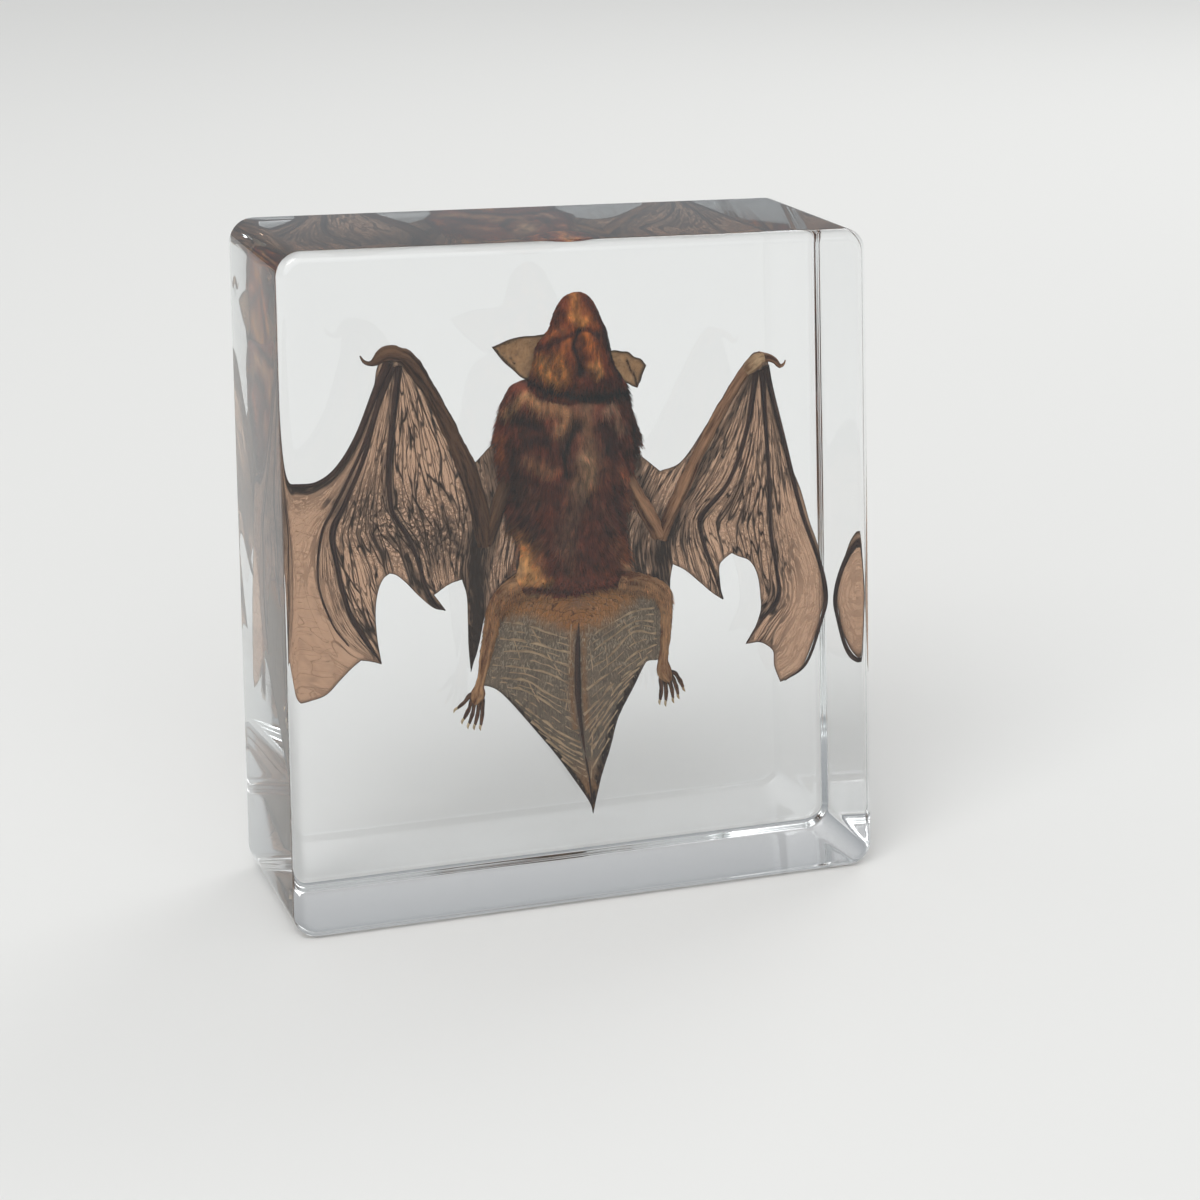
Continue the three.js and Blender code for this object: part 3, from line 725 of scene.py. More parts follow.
# Arms and fingers: [x, z, radius] from the body outwards.
armLines = {
    "left": {
        "arm": [
            [[-7.5, 70, 1.3], [-9.6, 64, 1.3], [-11.5, 58.6, 1.5]],
            [[-11.5, 58.2, 1.5], [-12.7, 65, 1.6], [-15.4, 73.5, 1.5], [-20.4, 84.6, 1.2], [-24.4, 91, 1.4],
             [-26.6, 91.8, 0.9]],
        ],
        "knuckle": [],
        "thumb": [[
            [-25.6, 91.8, 1.2], [-27.2, 92.3, 1.25], [-28.6, 91.9, 1.15], [-29.6, 91.1, 0.72],
            [-30.5, 90.8, 0.42], [-31.5, 91.2, 0.3], [-32.1, 92.2, 0.12],
        ]],
        "fingers": [
            [[-27.4, 91, 0.9], [-29.5, 86.4, 0.65], [-32.7, 78.8, 0.5], [-36, 73.8, 0.42],
             [-39.4, 71.5, 0.35], [-43, 71.4, 0.3], [-45.6, 71, 0.2]],
            [[-27.2, 90.6, 0.4], [-31.2, 78.6, 0.32], [-33.8, 72.8, 0.3], [-36.6, 67.4, 0.28],
             [-38.8, 62.8, 0.25],
             [-39.5, 54.5, 0.2], [-37.4, 47.1, 0.18], [-34.7, 42.8, 0.15]],
            [[-26.8, 90, 0.6], [-29.3, 83.6, 0.45], [-31.7, 75.2, 0.4], [-34.9, 67.7, 0.42], [-37, 63.3, 0.6],
             [-36.6, 58.2, 0.45], [-34.6, 49.1, 0.42], [-31.7, 43.3, 0.4], [-29.3, 39.2, 0.15]],
            [[-25.8, 90, 0.6], [-26.8, 81.2, 0.5], [-27.6, 73.9, 0.48], [-27.4, 66.9, 0.45],
             [-26.5, 64.2, 0.4],
             [-23.8, 59.1, 0.35], [-21.7, 52.1, 0.35], [-20, 48.6, 0.3], [-18.4, 47.3, 0.12]],
        ],
    },
    "right": {
        "arm": [
            [[11, 71, 1.2], [14.6, 64, 1.2], [18.5, 56.8, 1.4]],
            [[18.6, 56.2, 1.3], [20.2, 60, 1.25], [22.5, 65, 1.2], [26, 72.6, 1.05], [29.8, 79.6, 0.9],
             [33, 84.4, 1.0], [35, 85.8, 0.9]],
        ],
        "knuckle": [[[32.7, 84, 0.9], [33.9, 85.1, 1.2], [35, 85.9, 1.15], [35.9, 86.1, 0.8]]],
        "thumb": [[[35, 86.2, 1.0], [36.6, 86, 0.7], [37.8, 85.4, 0.5], [38.7, 84.4, 0.4],
                   [39.4, 84.6, 0.22], [39.7, 85.3, 0.1]]],
        "fingers": [
            [[36.2, 84.6, 0.7], [37.3, 80.5, 0.5], [39.6, 72.5, 0.45], [43.5, 58.8, 0.4],
             [47.3, 48.7, 0.38], [48.7, 42.4, 0.42],
             [48, 37.8, 0.3], [45.6, 30.4, 0.28], [41.8, 27.6, 0.12]],
            [[35.6, 84, 0.55], [37.3, 68, 0.35], [38.2, 56, 0.34], [39.5, 48.6, 0.34], [40, 43.2, 0.42],
             [37, 39.1, 0.3], [34.6, 35.4, 0.12]],
            [[34.6, 84, 0.55], [33.4, 74, 0.4], [30.4, 64.9, 0.38], [26, 59.6, 0.5], [25.8, 56.3, 0.36],
             [27.5, 51.3, 0.3], [30.1, 44, 0.12]],
        ],
    },
}
for side, lines in armLines.items():
    arm = makeCords(
        f"wing_{side}_arm", lines["arm"] + lines["thumb"], wingDepth, armSkin[side], sides=16, knobs=0.16,
    )
    finish(arm, "limb_skin")
    finish(makeCords(f"wing_{side}_fingers", lines["fingers"], wingDepth, fingerSkin, step=0.6), "wing_skin")
    if lines["knuckle"]:
        knuckle = makeCords(
            f"wing_{side}_knuckle", lines["knuckle"], wingDepth, knuckleSkin, sides=20, step=0.2, lift=0.25,
            knobs=0.2,
        )
        finish(knuckle, "limb_skin")
print("stage: arms and fingers")

# Tail skin, with the tail down its middle and raised ribs that slope down to it on both sides.
tail = {
    "outline": [
        [-9.4, 48.6], [-4, 49], [4, 48.4], [11, 48.4], [17, 48.2], [19.8, 46.6], [20.4, 43], [20.2, 38.6],
        [19.6, 35.6], [18.2, 34.6], [16.6, 34.6], [15.8, 33.8], [13.8, 30.1], [11.1, 25.1], [9.6, 20],
        [7.9, 14.9], [6.8, 10.6], [6.3, 8.4], [5.7, 10.6], [3, 15.1], [0.2, 19.5], [-2.7, 23.5], [-7, 29.2],
        [-9.5, 32.1], [-11.2, 33.2], [-12.7, 33.6], [-12.4, 36], [-11.6, 40], [-10.6, 44],
    ],
    "line": [
        [4.5, 42.8, 0.14], [4.4, 40.6, 0.3], [4.2, 37.7, 0.5], [4.1, 31.2, 0.6], [4.3, 27, 0.42],
        [5, 20.2, 0.24], [5.8, 14.4, 0.2], [6.3, 9, 0.12],
    ],
    "ribs": [  # rows of short muscle strands, raised and paler than the skin
        [[-8.4, 44.2], [-5, 43.4], [-1.6, 41.8], [2.4, 40.2]],
        [[-9.2, 41.4], [-5.6, 40.6], [-1.6, 39.2], [3, 37.4]],
        [[-9.8, 39.2], [-6.4, 38.9], [-3.2, 38.2], [-0.7, 36.9], [3.2, 34.9]],
        [[-10.6, 37], [-8.7, 36.6], [-5.2, 35.8], [-1.1, 34.4], [3.4, 31.6]],
        [[-10.8, 34.8], [-7.2, 34.1], [-4, 33.1], [-1.8, 31.2], [2.7, 28.7]],
        [[-8.2, 32.8], [-5.3, 31.9], [-1.9, 29.6], [1.3, 26.9], [3.9, 24.6]],
        [[-6.8, 30.4], [-5.4, 29], [-1.9, 26], [1.2, 23.3], [4.3, 21.5]],
        [[-4.2, 26.2], [-1.7, 23.9], [1.2, 21.5], [4.6, 19.2]], [[-1.7, 22.7], [1.2, 20.1], [4.9, 17.5]],
        [[1, 19], [3, 17], [5.3, 15.2]],
        [[17.8, 43.8], [14.4, 43.6], [9.4, 41.6], [6, 39.6]],
        [[17.6, 41.4], [14.3, 41.8], [10, 39.4], [6, 36.9]],
        [[18, 39.2], [13.9, 39.9], [10, 36.4], [6, 34.2]],
        [[18.2, 37.4], [14.5, 36.2], [11.2, 34], [8.6, 32.6], [5.6, 30.6]],
        [[16.4, 35.3], [14.5, 33.9], [10.5, 31.4], [7.9, 28.8], [5, 26.2]],
        [[15, 33.6], [11.2, 30.7], [8.5, 27.4], [5.2, 23.6]],
        [[13.1, 31], [10.5, 28.2], [7.8, 24.6], [5.6, 21.4]], [[11, 26.6], [9, 23.8], [6.4, 20]],
        [[9.4, 21.6], [8, 19.4], [6.3, 16.6]],
    ],
    "strands": [
        [[-4.6, 44], [-1.6, 38.7], [1.5, 32.8], [2.6, 27]], [[3.2, 42.6], [2.7, 34.6], [1.9, 27.6]],
        [[-6.9, 41.2], [-4, 32.1], [-0.4, 25.4]], [[6.2, 42.3], [6.4, 37.4], [7.2, 30.8], [8.4, 26.4]],
        [[12.2, 42.4], [14.6, 37.4], [15.4, 35]], [[7.6, 26.4], [6.5, 22.3], [6.1, 14.8]],
        [[9, 38], [9.6, 33], [10.4, 28.6]],
    ],
    "ribRadius": 0.2, "strandRadius": 0.11, "lift": 0.1, "step": 0.34, "outlineStep": 0.35, "thickness": 0.34,
    "relief": 0.16, "ribWander": 0.22, "ribSwell": 1.1,
    "sideGap": 8,  # the left and right ribs start further apart than this
    "downyTop": [[[-7.8, 47.4], [-3.7, 46.9], [0.1, 45], [3.8, 43.4], [8.1, 44.4], [12, 46.8]], 2.6, 1.0],
    "darkRims": [
        [[[-9.6, 31.6], [-7.2, 29.3], [-2.4, 23.2], [0.8, 18.7], [3.5, 14.8], [6, 10]], 0.8, 0.95],
        [[[14.8, 32.8], [13, 29.8], [10.4, 24.9], [8.8, 19.6], [7.5, 14.8], [6.6, 10.6]], 1.0, 0.85],
        [[[6.3, 13], [6.3, 8.4]], 1.0, 0.6], [[[4.4, 41], [4.2, 37], [4.1, 31], [4.4, 26]], 0.95, 0.6],
    ],
}
tailOutline = smoothOutline(tail["outline"], tail["outlineStep"])
tailCentre = spline(tail["line"], 0.5)


def paintTail(flat):
    # The skin is warm at the hips, down its tip and beside the tail, and dark along its free edges.
    away, side = nearest(flat, tailCentre[:, :2])
    edge = nearest(flat, tailOutline, True)[0]
    rim = np.where(flat[:, 1] < 34, np.exp(-(edge / 0.3) ** 2), 0)
    fold = foldMap(flat, tail["darkRims"])
    wander = flat + 0.9 * np.stack([noiseAt(flat, (0.9, 0.5), 3.0), noiseAt(flat, (0.9, 0.4), 8.0)], 1)
    flush = np.clip(foldMap(wander, [tail["downyTop"]]) + np.clip((wander[:, 1] - 45.5) / 2, 0, 1), 0, 1)
    flush = np.maximum(flush, 0.6 * np.clip((19 - flat[:, 1]) / 6, 0, 1))
    # pale flesh beside the tail
    flush = np.maximum(flush, 0.5 * np.exp(-((away - 1.1) / 0.5) ** 2) * (flat[:, 1] > 24))
    fleck = np.clip((flat[:, 1] - 22) / 14, 0.15, 1) * np.clip(
        0.7 + 1.2 * noiseAt(flat, (0.3, 0.7), 12.0), 0.2, 1,
    )
    values = {"fold": fold, "rim": rim, "flush": flush, "fleck": fleck * (0.85 - 0.6 * flush),
              "crease": np.ones(len(flat))}
    return np.stack([away * side, flat[:, 1]], 1), values


def tailThickness(flat):
    return np.full(len(flat), tail["thickness"])


def tailRelief(flat, uv):
    return tail["relief"] * noiseAt(uv, (0.9, 0.5), 2.2)


tailPiece = makeSheet(
    "tail_skin", tailOutline, tail["step"], tailDepth, tailThickness, tailRelief, tailSkin, paintTail,
)
finish(tailPiece, "tail_skin", "tail_membrane")


def halfway(above, below, count=6):
    # A line midway between two others.
    runs = [spline(line, 0.7) for line in (above, below)]
    return sum(run[np.linspace(0, len(run) - 1, count).round().astype(int)] for run in runs) / 2


faintRibs = [
    halfway(above, below) for above, below in zip(tail["ribs"], tail["ribs"][1:])
    if abs(above[0][0] - below[0][0]) < tail["sideGap"]
]
ribLines = []
for k, rib in enumerate(tail["ribs"] + tail["strands"] + faintRibs):
    radius = tail["ribRadius"] if k < len(tail["ribs"]) else tail["strandRadius"]
    run = spline(rib, 0.7)
    wave = noiseAt(run, (0.8, 0.8), k * 3.3)
    ribLines.append([
        [x, z + tail["ribWander"] * w, radius * (1 + tail["ribSwell"] * w)] for (x, z), w in zip(run, wave)
    ])
finish(makeCords("tail_ribs", ribLines, tailDepth, tailRib, sides=6, lift=tail["lift"]), "tail_skin")
finish(makeCords("tail_line", [tail["line"]], tailDepth, fingerSkin, step=0.6), "tail_skin")
print("stage: tail")

# Legs, toes and claws.
legs = {
    "left": {
        "shin": [
            [-5.6, 50, 2.2], [-8.2, 48.7, 1.9], [-10, 45.8, 1.45], [-10.9, 42, 1.2], [-11.6, 39, 1.05],
            [-12.4, 35.4, 0.8], [-12.9, 33.6, 0.85], [-13.2, 32.2, 1.25], [-13.6, 31.1, 1.0],
            [-13.9, 30.4, 0.35],
        ],
        "down": "#B8824E",
        "roots": [[-14.5, 32.1], [-14.2, 31.4], [-13.8, 30.9], [-13.1, 30.7], [-12.5, 31.1]],
        "tips": [[-16.9, 30], [-15.8, 28], [-14.9, 27.1], [-13.9, 26.8], [-12.9, 26.6]],
    },
    "right": {
        "shin": [
            [11.6, 49.4, 2.0], [15.6, 48.5, 1.75], [18.9, 46.6, 1.6], [19.8, 43.6, 1.15], [19.8, 40, 1.0],
            [19.5, 36.8, 0.85], [19.2, 34.4, 0.9], [19.4, 32.4, 1.3], [19.9, 31.2, 1.05],
            [20.3, 30.5, 0.35],
        ],
        "down": "#C0946A", "roots": [[18.8, 31.2], [19.5, 30.8], [20.2, 30.8], [20.8, 31.2], [21.2, 31.9]],
        "tips": [[18.6, 27.4], [19.6, 27], [20.9, 27.4], [21.8, 28], [22.7, 29.2]],
    },
}
toe = {
    "root": 0.42, "radius": 0.34, "knuckle": 0.38, "tip": 0.24, "claw": 0.22, "clawTip": 0.05,
    "clawLength": 0.8, "clawDroop": 0.15, "overlap": 0.25, "bow": 0.12,
}
for side, leg in legs.items():
    leg["piece"] = makeCords(
        f"leg_{side}_skin", [leg["shin"]], tailDepth, legSkin, sides=20, step=0.3, knobs=0.14,
    )
    finish(leg["piece"], "limb_skin", f"leg_{side}")
    palm = np.array(leg["shin"][-3][:2])
    toes, claws = [], []
    for root, tip in zip(np.array(leg["roots"]), np.array(leg["tips"])):
        out = (tip - root) / np.linalg.norm(tip - root)
        aside = np.array((-out[1], out[0])) * toe["bow"]
        toes.append([
            [*palm, toe["root"]], [*root, toe["root"]],
            [*(root + (tip - root) * 0.42 + aside), toe["radius"]],
            [*(root + (tip - root) * 0.6 + aside), toe["knuckle"]], [*tip, toe["tip"]],
        ])
        claws.append([
            [*(tip - out * toe["overlap"]), toe["claw"]],
            [*(tip + out * toe["clawLength"] * 0.5 - aside), toe["claw"]],
            [*(tip + out * toe["clawLength"] - (0, toe["clawDroop"])), toe["clawTip"]],
        ])
    finish(makeCords(f"leg_{side}_toes", toes, tailDepth, toeSkin, step=0.2, knobs=0.2), "limb_skin")
    finish(makeCords(f"leg_{side}_claws", claws, tailDepth, clawHorn, step=0.15), "limb_skin")
print("stage: legs")

# Ears: thin cupped skin with a dark rim.
ears = {
    "left": {
        "outline": [
            [0, 93.4], [-3.4, 93.2], [-5.6, 93.2], [-7.6, 92.9], [-9.4, 92.3], [-10.6, 91.9], [-9.6, 90.5],
            [-8.6, 89.2], [-7, 87.7], [-5.4, 86.2], [-3, 85.6], [0, 86],
        ],
        "folds": [[[[-3.4, 92.8], [-4, 89], [-5, 86.6]], 0.8, 0.45], [[[-7.5, 89.8], [-7.3, 89.6]], 0.2, 0.9],
                  [[[-6.9, 88.9], [-6.7, 88.8]], 0.22, 0.9],
                  [[[-10.2, 91.9], [-8.8, 92.2], [-6.6, 92.6]], 0.3, 0.7],
                  [[[-9.9, 91.4], [-8.6, 89.6], [-6.9, 88]], 0.28, 0.8],
                  [[[-8.6, 91], [-6.6, 90.6], [-4.8, 90]], 0.3, 0.22]],
    },
    "right": {
        "outline": [
            [6, 89], [8.6, 89.4], [10, 89.6], [11.2, 89.3], [12.4, 89.1], [13.4, 88.2], [14.6, 87.7],
            [15.4, 86.6], [14.8, 85.2], [14.5, 84.1], [14, 82.9], [13.2, 83.2], [12.2, 83.8], [10, 84.4],
            [6, 84],
        ],
        "folds": [[[[12.2, 87.7], [12.8, 86.2], [13.5, 85.1], [13.9, 83.2]], 0.32, 0.85],
                  [[[15.2, 86.6], [14.9, 85.4], [14.4, 84]], 0.32, 0.85],
                  [[[10, 88.8], [10.2, 86.4], [11, 84.6]], 0.7, 0.4],
                  [[[10.8, 88], [11.6, 87.4]], 0.16, 0.6], [[[11.4, 86.8], [12, 86.4]], 0.16, 0.5]],
    },
}
earSize = {"thickness": 0.28, "rimWidth": 0.42, "cupDepth": 1.1, "cupWidth": 2.2, "setForward": 0.35,
           "foldDepth": 0.5}


def makeEar(side, ear):
    outline = smoothOutline(ear["outline"], 0.25)

    def paint(flat):
        rim = np.exp(-(nearest(flat, outline, True)[0] / earSize["rimWidth"]) ** 4)
        return flat.copy(), {"fold": foldMap(flat, ear["folds"]), "rim": rim, "crease": np.ones(len(flat))}

    def thicknessAt(flat):
        return np.full(len(flat), earSize["thickness"])

    def cup(flat, uv):
        hollow = earSize["cupDepth"] * np.clip(nearest(flat, outline, True)[0] / earSize["cupWidth"], 0, 1)
        return hollow - earSize["setForward"] - earSize["foldDepth"] * foldMap(flat, ear["folds"])

    piece = makeSheet(f"ear_{side}_skin", outline, 0.2, bodyDepth, thicknessAt, cup, earSkin, paint)
    finish(piece, "limb_skin", f"ear_{side}")


for side, ear in ears.items():
    makeEar(side, ear)
print("stage: ears")

# Head and body: [x, z, half width, half depth], level sections down the body.
bodyParts = {
    "head": {
        "stations": [
            [3.6, 99.8, 0.7, 0.6], [3.4, 99.3, 1.75, 1.5], [3.4, 98.3, 2.65, 2.3], [3.4, 97.2, 3.25, 2.9],
            [3.5, 95.4, 4, 3.5], [3.6, 93.8, 4.75, 4], [3.1, 92.3, 5.6, 4.4], [3, 90.6, 6.2, 4.7],
            [3, 88.8, 6.5, 4.8], [3.1, 87, 7, 4.9], [3.4, 85, 7.9, 4.9], [3.8, 83.4, 8.3, 4.7],
            [4, 81.8, 8, 4],
        ],
        "setback": 0.0, "rows": 120, "lumps": 0.16, "furLength": 0.0009, "density": 2.1e7,
        "strayLength": 0.0017, "strayDensity": 8.0e6,
    },
    "torso": {
        "stations": [
            [2.2, 85.6, 7.4, 2.4], [2.3, 84.8, 9.3, 3.8], [2.2, 83.2, 10.2, 4.8], [2.1, 81.2, 10.7, 5.3],
            [2.1, 79.2, 11.2, 5.7], [2.2, 77, 11.8, 5.9], [2.5, 75, 12.2, 6], [2.5, 73, 12.1, 6],
            [2.4, 70, 11.5, 5.9], [2.4, 66.5, 10.9, 5.6], [2.8, 63, 10.3, 5.3], [2.9, 60, 9.7, 5.1],
            [3.2, 57, 9.4, 4.8], [3.3, 54, 10, 4.5], [3.4, 51, 11.2, 3.9], [3.5, 49, 11.6, 3],
            [3.6, 47.6, 10.6, 1.7], [3.7, 46.8, 8.6, 0.6],
        ],
        "setback": 1.5, "rows": 190, "lumps": 0.3, "furLength": 0.0016, "density": 1.5e7,
        "strayLength": 0.0028,
        "strayDensity": 5.0e6,
    },
}

# Where the coat's colour and surface change, with some painted shade and a painted highlight among the
# colours: a line of [x, z], half width, colour, strength and height.
coat = {
    "head": {
        "base": "#74301A", "mottle": 0.72, "bare": [],
        "marks": [
            [[[3.6, 93.2], [3.4, 90]], 5.5, "#9C4C20", 0.65, 0.0],
            [[[2.9, 99.7], [3, 96.8], [3.2, 94.4]], 0.8, "#C27A3C", 0.85, 0.3],
            [[[2.3, 95.8], [3.7, 94.9], [4.6, 95.4]], 0.75, "#D88E48", 0.85, 0.25],
            [[[0.7, 99.1], [-0.6, 96.3], [-1.8, 94.5]], 0.55, "#3A150E", 0.85, -0.2],
            [[[-1.7, 95], [-2.3, 93.9]], 0.28, "#E0C09A", 0.8, 0.05],
            [[[5.1, 98.5], [6.5, 96], [7.9, 93.2], [8.6, 90.5]], 0.7, "#451A10", 0.8, -0.15],
            [[[4.4, 97.1], [5.9, 94.1]], 0.6, "#A85E2C", 0.6, 0.1],
            [[[-0.9, 92.7], [0.5, 93.8]], 0.7, "#BC6A32", 0.75, 0.2],
            [[[-0.4, 92.1], [-2.2, 91], [-3.7, 90.1]], 0.45, "#3C140D", 0.85, -0.25],
            [[[1.5, 91.8], [0.6, 90.4]], 0.8, "#B4642E", 0.75, 0.25],
            [[[-2.6, 88.5], [-2.1, 87], [-0.3, 85.7]], 1.2, "#DE9A50", 0.92, 0.5],
            [[[-0.4, 88.8], [0.8, 86.6]], 1.2, "#C8803F", 0.85, 0.45],
            [[[4.6, 92.3], [5.4, 89.8], [6.3, 87.2]], 0.95, "#CE7430", 0.9, 0.5],
            [[[5.7, 87.3], [6.8, 86]], 0.9, "#DC9C58", 0.9, 0.3],
            [[[3.2, 93.8], [1.8, 92.9], [-0.4, 92]], 0.35, "#45170D", 0.8, -0.3],
            [[[3.2, 93.8], [4.9, 93.6], [6.6, 92.6]], 0.35, "#4A1A0E", 0.7, -0.2],
            [[[3.3, 93.8], [2.7, 92.2], [2.4, 91], [2.9, 89.5], [3.8, 88], [3.7, 86]], 0.45, "#240B0A",
             0.95, -0.45],
            [[[3.8, 88.8], [3.7, 86.6]], 0.85, "#2C0F0C", 0.85, -0.2],
            [[[4.6, 84.4], [7.4, 84.6], [10.2, 84]], 0.95, "#5E2A22", 0.85, 0.0],
            [[[8, 94.2], [8.8, 91.3], [9.6, 88], [10.8, 84.6]], 0.75, "#260E0B", 0.85, 0.15],
            [[[-3.3, 92.6], [-4.2, 90.1], [-5, 87.3]], 0.55, "#3C160E", 0.8, 0.1],
            # Near-black lines under the chin, where the head meets the torso: painted shade.
            [[[-5.7, 86.3], [-4, 84.9], [-0.3, 83.5], [3.8, 82.6]], 0.75, "#0E0809", 0.97, -0.6],
            [[[4.3, 82.5], [7, 82.4], [12, 82]], 1.15, "#0C0708", 0.98, -0.7],
        ],
    },
    "torso": {
        "base": "#86422E", "mottle": 0.672,
        "bare": [[[[-5.8, 57], [-5, 54], [-4.2, 51.6]], 2.4, 0.9], [[[12.4, 51.6], [15, 49.6]], 1.2, 0.8]],
        "marks": [
            [[[-8.4, 84.6], [-9.6, 80]], 1.6, "#7E3A26", 0.8, 0.0],
            [[[11.6, 82.6], [13.8, 76]], 1.4, "#4A1F18", 0.8, 0.0],
            [[[-7.9, 80.1], [-6.5, 81.9], [-5, 82.5], [-3.3, 81.1]], 0.8, "#D09A68", 0.9, 0.3],
            [[[-2.3, 81.3], [-0.1, 80.4], [1.6, 79], [0.4, 76.9]], 1.5, "#C08C60", 0.85, 0.2],
            [[[4.8, 80.4], [4.6, 77.5], [4.9, 74.4]], 1.6, "#A87C5C", 0.85, 0.15],
            # Pale tan on the right shoulder's ridge: paler fur with a painted highlight on it.
            [[[8.2, 79.1], [9.3, 79.9], [10.2, 78.2], [10.8, 75.9]], 0.75, "#D0A080", 0.85, 0.35],
            [[[-6.9, 79.5], [-5.5, 78.9], [-3.8, 78]], 1.35, "#1C0C0D", 0.9, -0.4],
            [[[-4.2, 75.3], [-2.3, 75.1]], 1.15, "#1E0D0D", 0.85, -0.3],
            [[[-5.6, 76.8], [-1.6, 77.2]], 0.8, "#4E2018", 0.6, -0.1],
            [[[8.3, 76.6], [9.8, 74.5], [8.8, 72.6]], 1.7, "#3A1A1A", 0.85, -0.4],
            [[[8.9, 74.2], [8.6, 73]], 0.9, "#1E0F10", 0.8, -0.2],
            [[[5, 71.6], [5.2, 68.6], [4.2, 66.6]], 1.8, "#D2AA82", 0.92, 0.25],
            [[[7.4, 70.6], [8.6, 69.4]], 1.1, "#8C5A44", 0.6, 0.1],
            [[[-4.9, 71.9], [-3, 71.2], [-1, 70]], 1.1, "#BE8660", 0.85, 0.25],
            [[[2.9, 78], [2.5, 76.7], [1.7, 74.7], [1, 72.3], [1.7, 69]], 0.7, "#16100F", 0.93, -0.45],
            [[[-9, 76.4], [-8.4, 71.7]], 0.6, "#C06A3A", 0.85, 0.1],
            [[[-10.2, 77.9], [-9.8, 70.9]], 0.5, "#1C0F0E", 0.85, 0.0],
            [[[-6.4, 74.5], [-6.9, 70.6], [-6.1, 65.5]], 1.5, "#2A1410", 0.75, -0.25],
            [[[11.1, 69.6], [12.5, 65.7], [12.2, 63.7]], 0.9, "#C8805C", 0.85, 0.2],
            [[[13.3, 76.4], [13.8, 71.6]], 0.8, "#1E1010", 0.85, 0.0],
            [[[4, 65.5], [2.5, 61.6], [1.6, 56.6]], 1.9, "#94705A", 0.7, 0.1],
            [[[-4.9, 67.4], [-3.4, 64.2]], 1.5, "#7A4E3A", 0.6, 0.1],
            [[[-4.6, 62.3], [-3.4, 58.7], [-2.5, 56.5]], 1.1, "#4A1F18", 0.8, -0.15],
            [[[-6.6, 60.6], [-5.8, 57.4], [-6.4, 54.4]], 1.0, "#AC7C4E", 0.85, 0.1],
            [[[7, 63.2], [9.1, 58.9], [10.1, 54.7]], 1.8, "#8C4E3C", 0.7, 0.1],
            [[[10, 64.4], [11, 61.2]], 0.8, "#5A2A22", 0.7, -0.1],
            [[[11.2, 57.6], [12.4, 53.4]], 0.9, "#B8683E", 0.8, 0.1],
            [[[4.9, 64.7], [7.6, 60.4], [9.6, 57]], 0.35, "#54261E", 0.7, -0.1],
            [[[6.2, 66], [8.6, 61.6], [10.8, 57.6]], 0.3, "#A86A50", 0.6, 0.05],
            [[[4.7, 58.2], [5.7, 54.2], [6.2, 50.3]], 1.5, "#7A3A2A", 0.75, 0.0],
            [[[2.4, 58.4], [2.4, 55.1], [2.4, 51.7]], 1.0, "#8E6048", 0.65, 0.05],
            [[[-5.6, 56.6], [-4.7, 53.9], [-3.9, 51.8]], 2.3, "#DA9C5C", 0.92, 0.25],
            [[[-6.7, 52.7], [-7.6, 50.4]], 1.5, "#DCAC78", 0.9, 0.15],
            [[[-7.8, 50.2], [-4.1, 50.3], [-0.8, 50.6]], 0.85, "#D69A5C", 0.9, 0.3],
            [[[-0.9, 55.4], [-0.1, 52.5], [0.4, 50]], 0.9, "#662A1A", 0.8, -0.1],
            [[[9.9, 56.6], [11.3, 54.2], [11.9, 51.6]], 1.1, "#B06A44", 0.75, 0.05],
            [[[6.6, 51.6], [9.4, 50.4]], 1.2, "#8E4426", 0.8, 0.05],
            [[[12.6, 51.6], [14.4, 50], [16, 49]], 0.8, "#C69870", 0.85, 0.2],
            [[[-10.1, 48], [-6.9, 48.5], [-3.2, 49], [-0.3, 48.5], [2.5, 47.8], [3.7, 47.2], [5.8, 47.7],
              [8.1, 48], [10.7, 47.7]], 0.5, "#54200F", 0.85, -0.3],
            [[[10.7, 47.5], [11.3, 49.8], [12.6, 50.4], [14.3, 49.7]], 0.3, "#4E2012", 0.85, -0.3],
            [[[-8.6, 47], [-4, 47.6], [-0.6, 47.2]], 0.6, "#C99C68", 0.8, 0.0],
            [[[6.8, 46.6], [10.4, 46.8]], 0.6, "#C8965E", 0.8, 0.0],
            # Near-black line where the torso meets the chin: painted shade.
            [[[-5.4, 86.2], [-3.6, 84.7], [-0.8, 83.3], [1.6, 82.5], [4.5, 81.9], [7, 81.7], [10, 81.5],
              [12.4, 81.2]], 0.85, "#150C0C", 0.95, -0.4],
        ],
    },
}


coatRule = {"wander": 0.55, "darkest": 0.35, "palest": 1.35}


def coatLook(name, flat, hang):
    # The painted colour, blended in linear light, and the height of its ridges and hollows. A strand shows
    # its colour lower down than its root, by hang.
    look = coat[name]
    colour = np.tile(np.array(linear(look["base"])), (len(flat), 1))
    height = np.zeros(len(flat))
    wander = coatRule["wander"] * np.stack(
        [noiseAt(flat, (0.5, 0.3), 5.0), noiseAt(flat, (0.5, 0.3), 9.0)], 1,
    )
    shown, shaped = alongMarks(flat + wander - (0, hang), look["marks"]), alongMarks(flat, look["marks"])
    for mask, ridge, (_, _, shade, strength, rise) in zip(shown, shaped, look["marks"]):
        share = (strength * mask)[:, None]
        colour = colour * (1 - share) + np.array(linear(shade)) * share
        height += rise * ridge
    mottle = noiseAt(flat, (1.1, 0.55), 21.0) + 0.7 * noiseAt(flat, (2.6, 1.2), 5.5)
    colour[:, :3] *= np.clip(1 + look["mottle"] * mottle, coatRule["darkest"], coatRule["palest"])[:, None]
    return colour, height


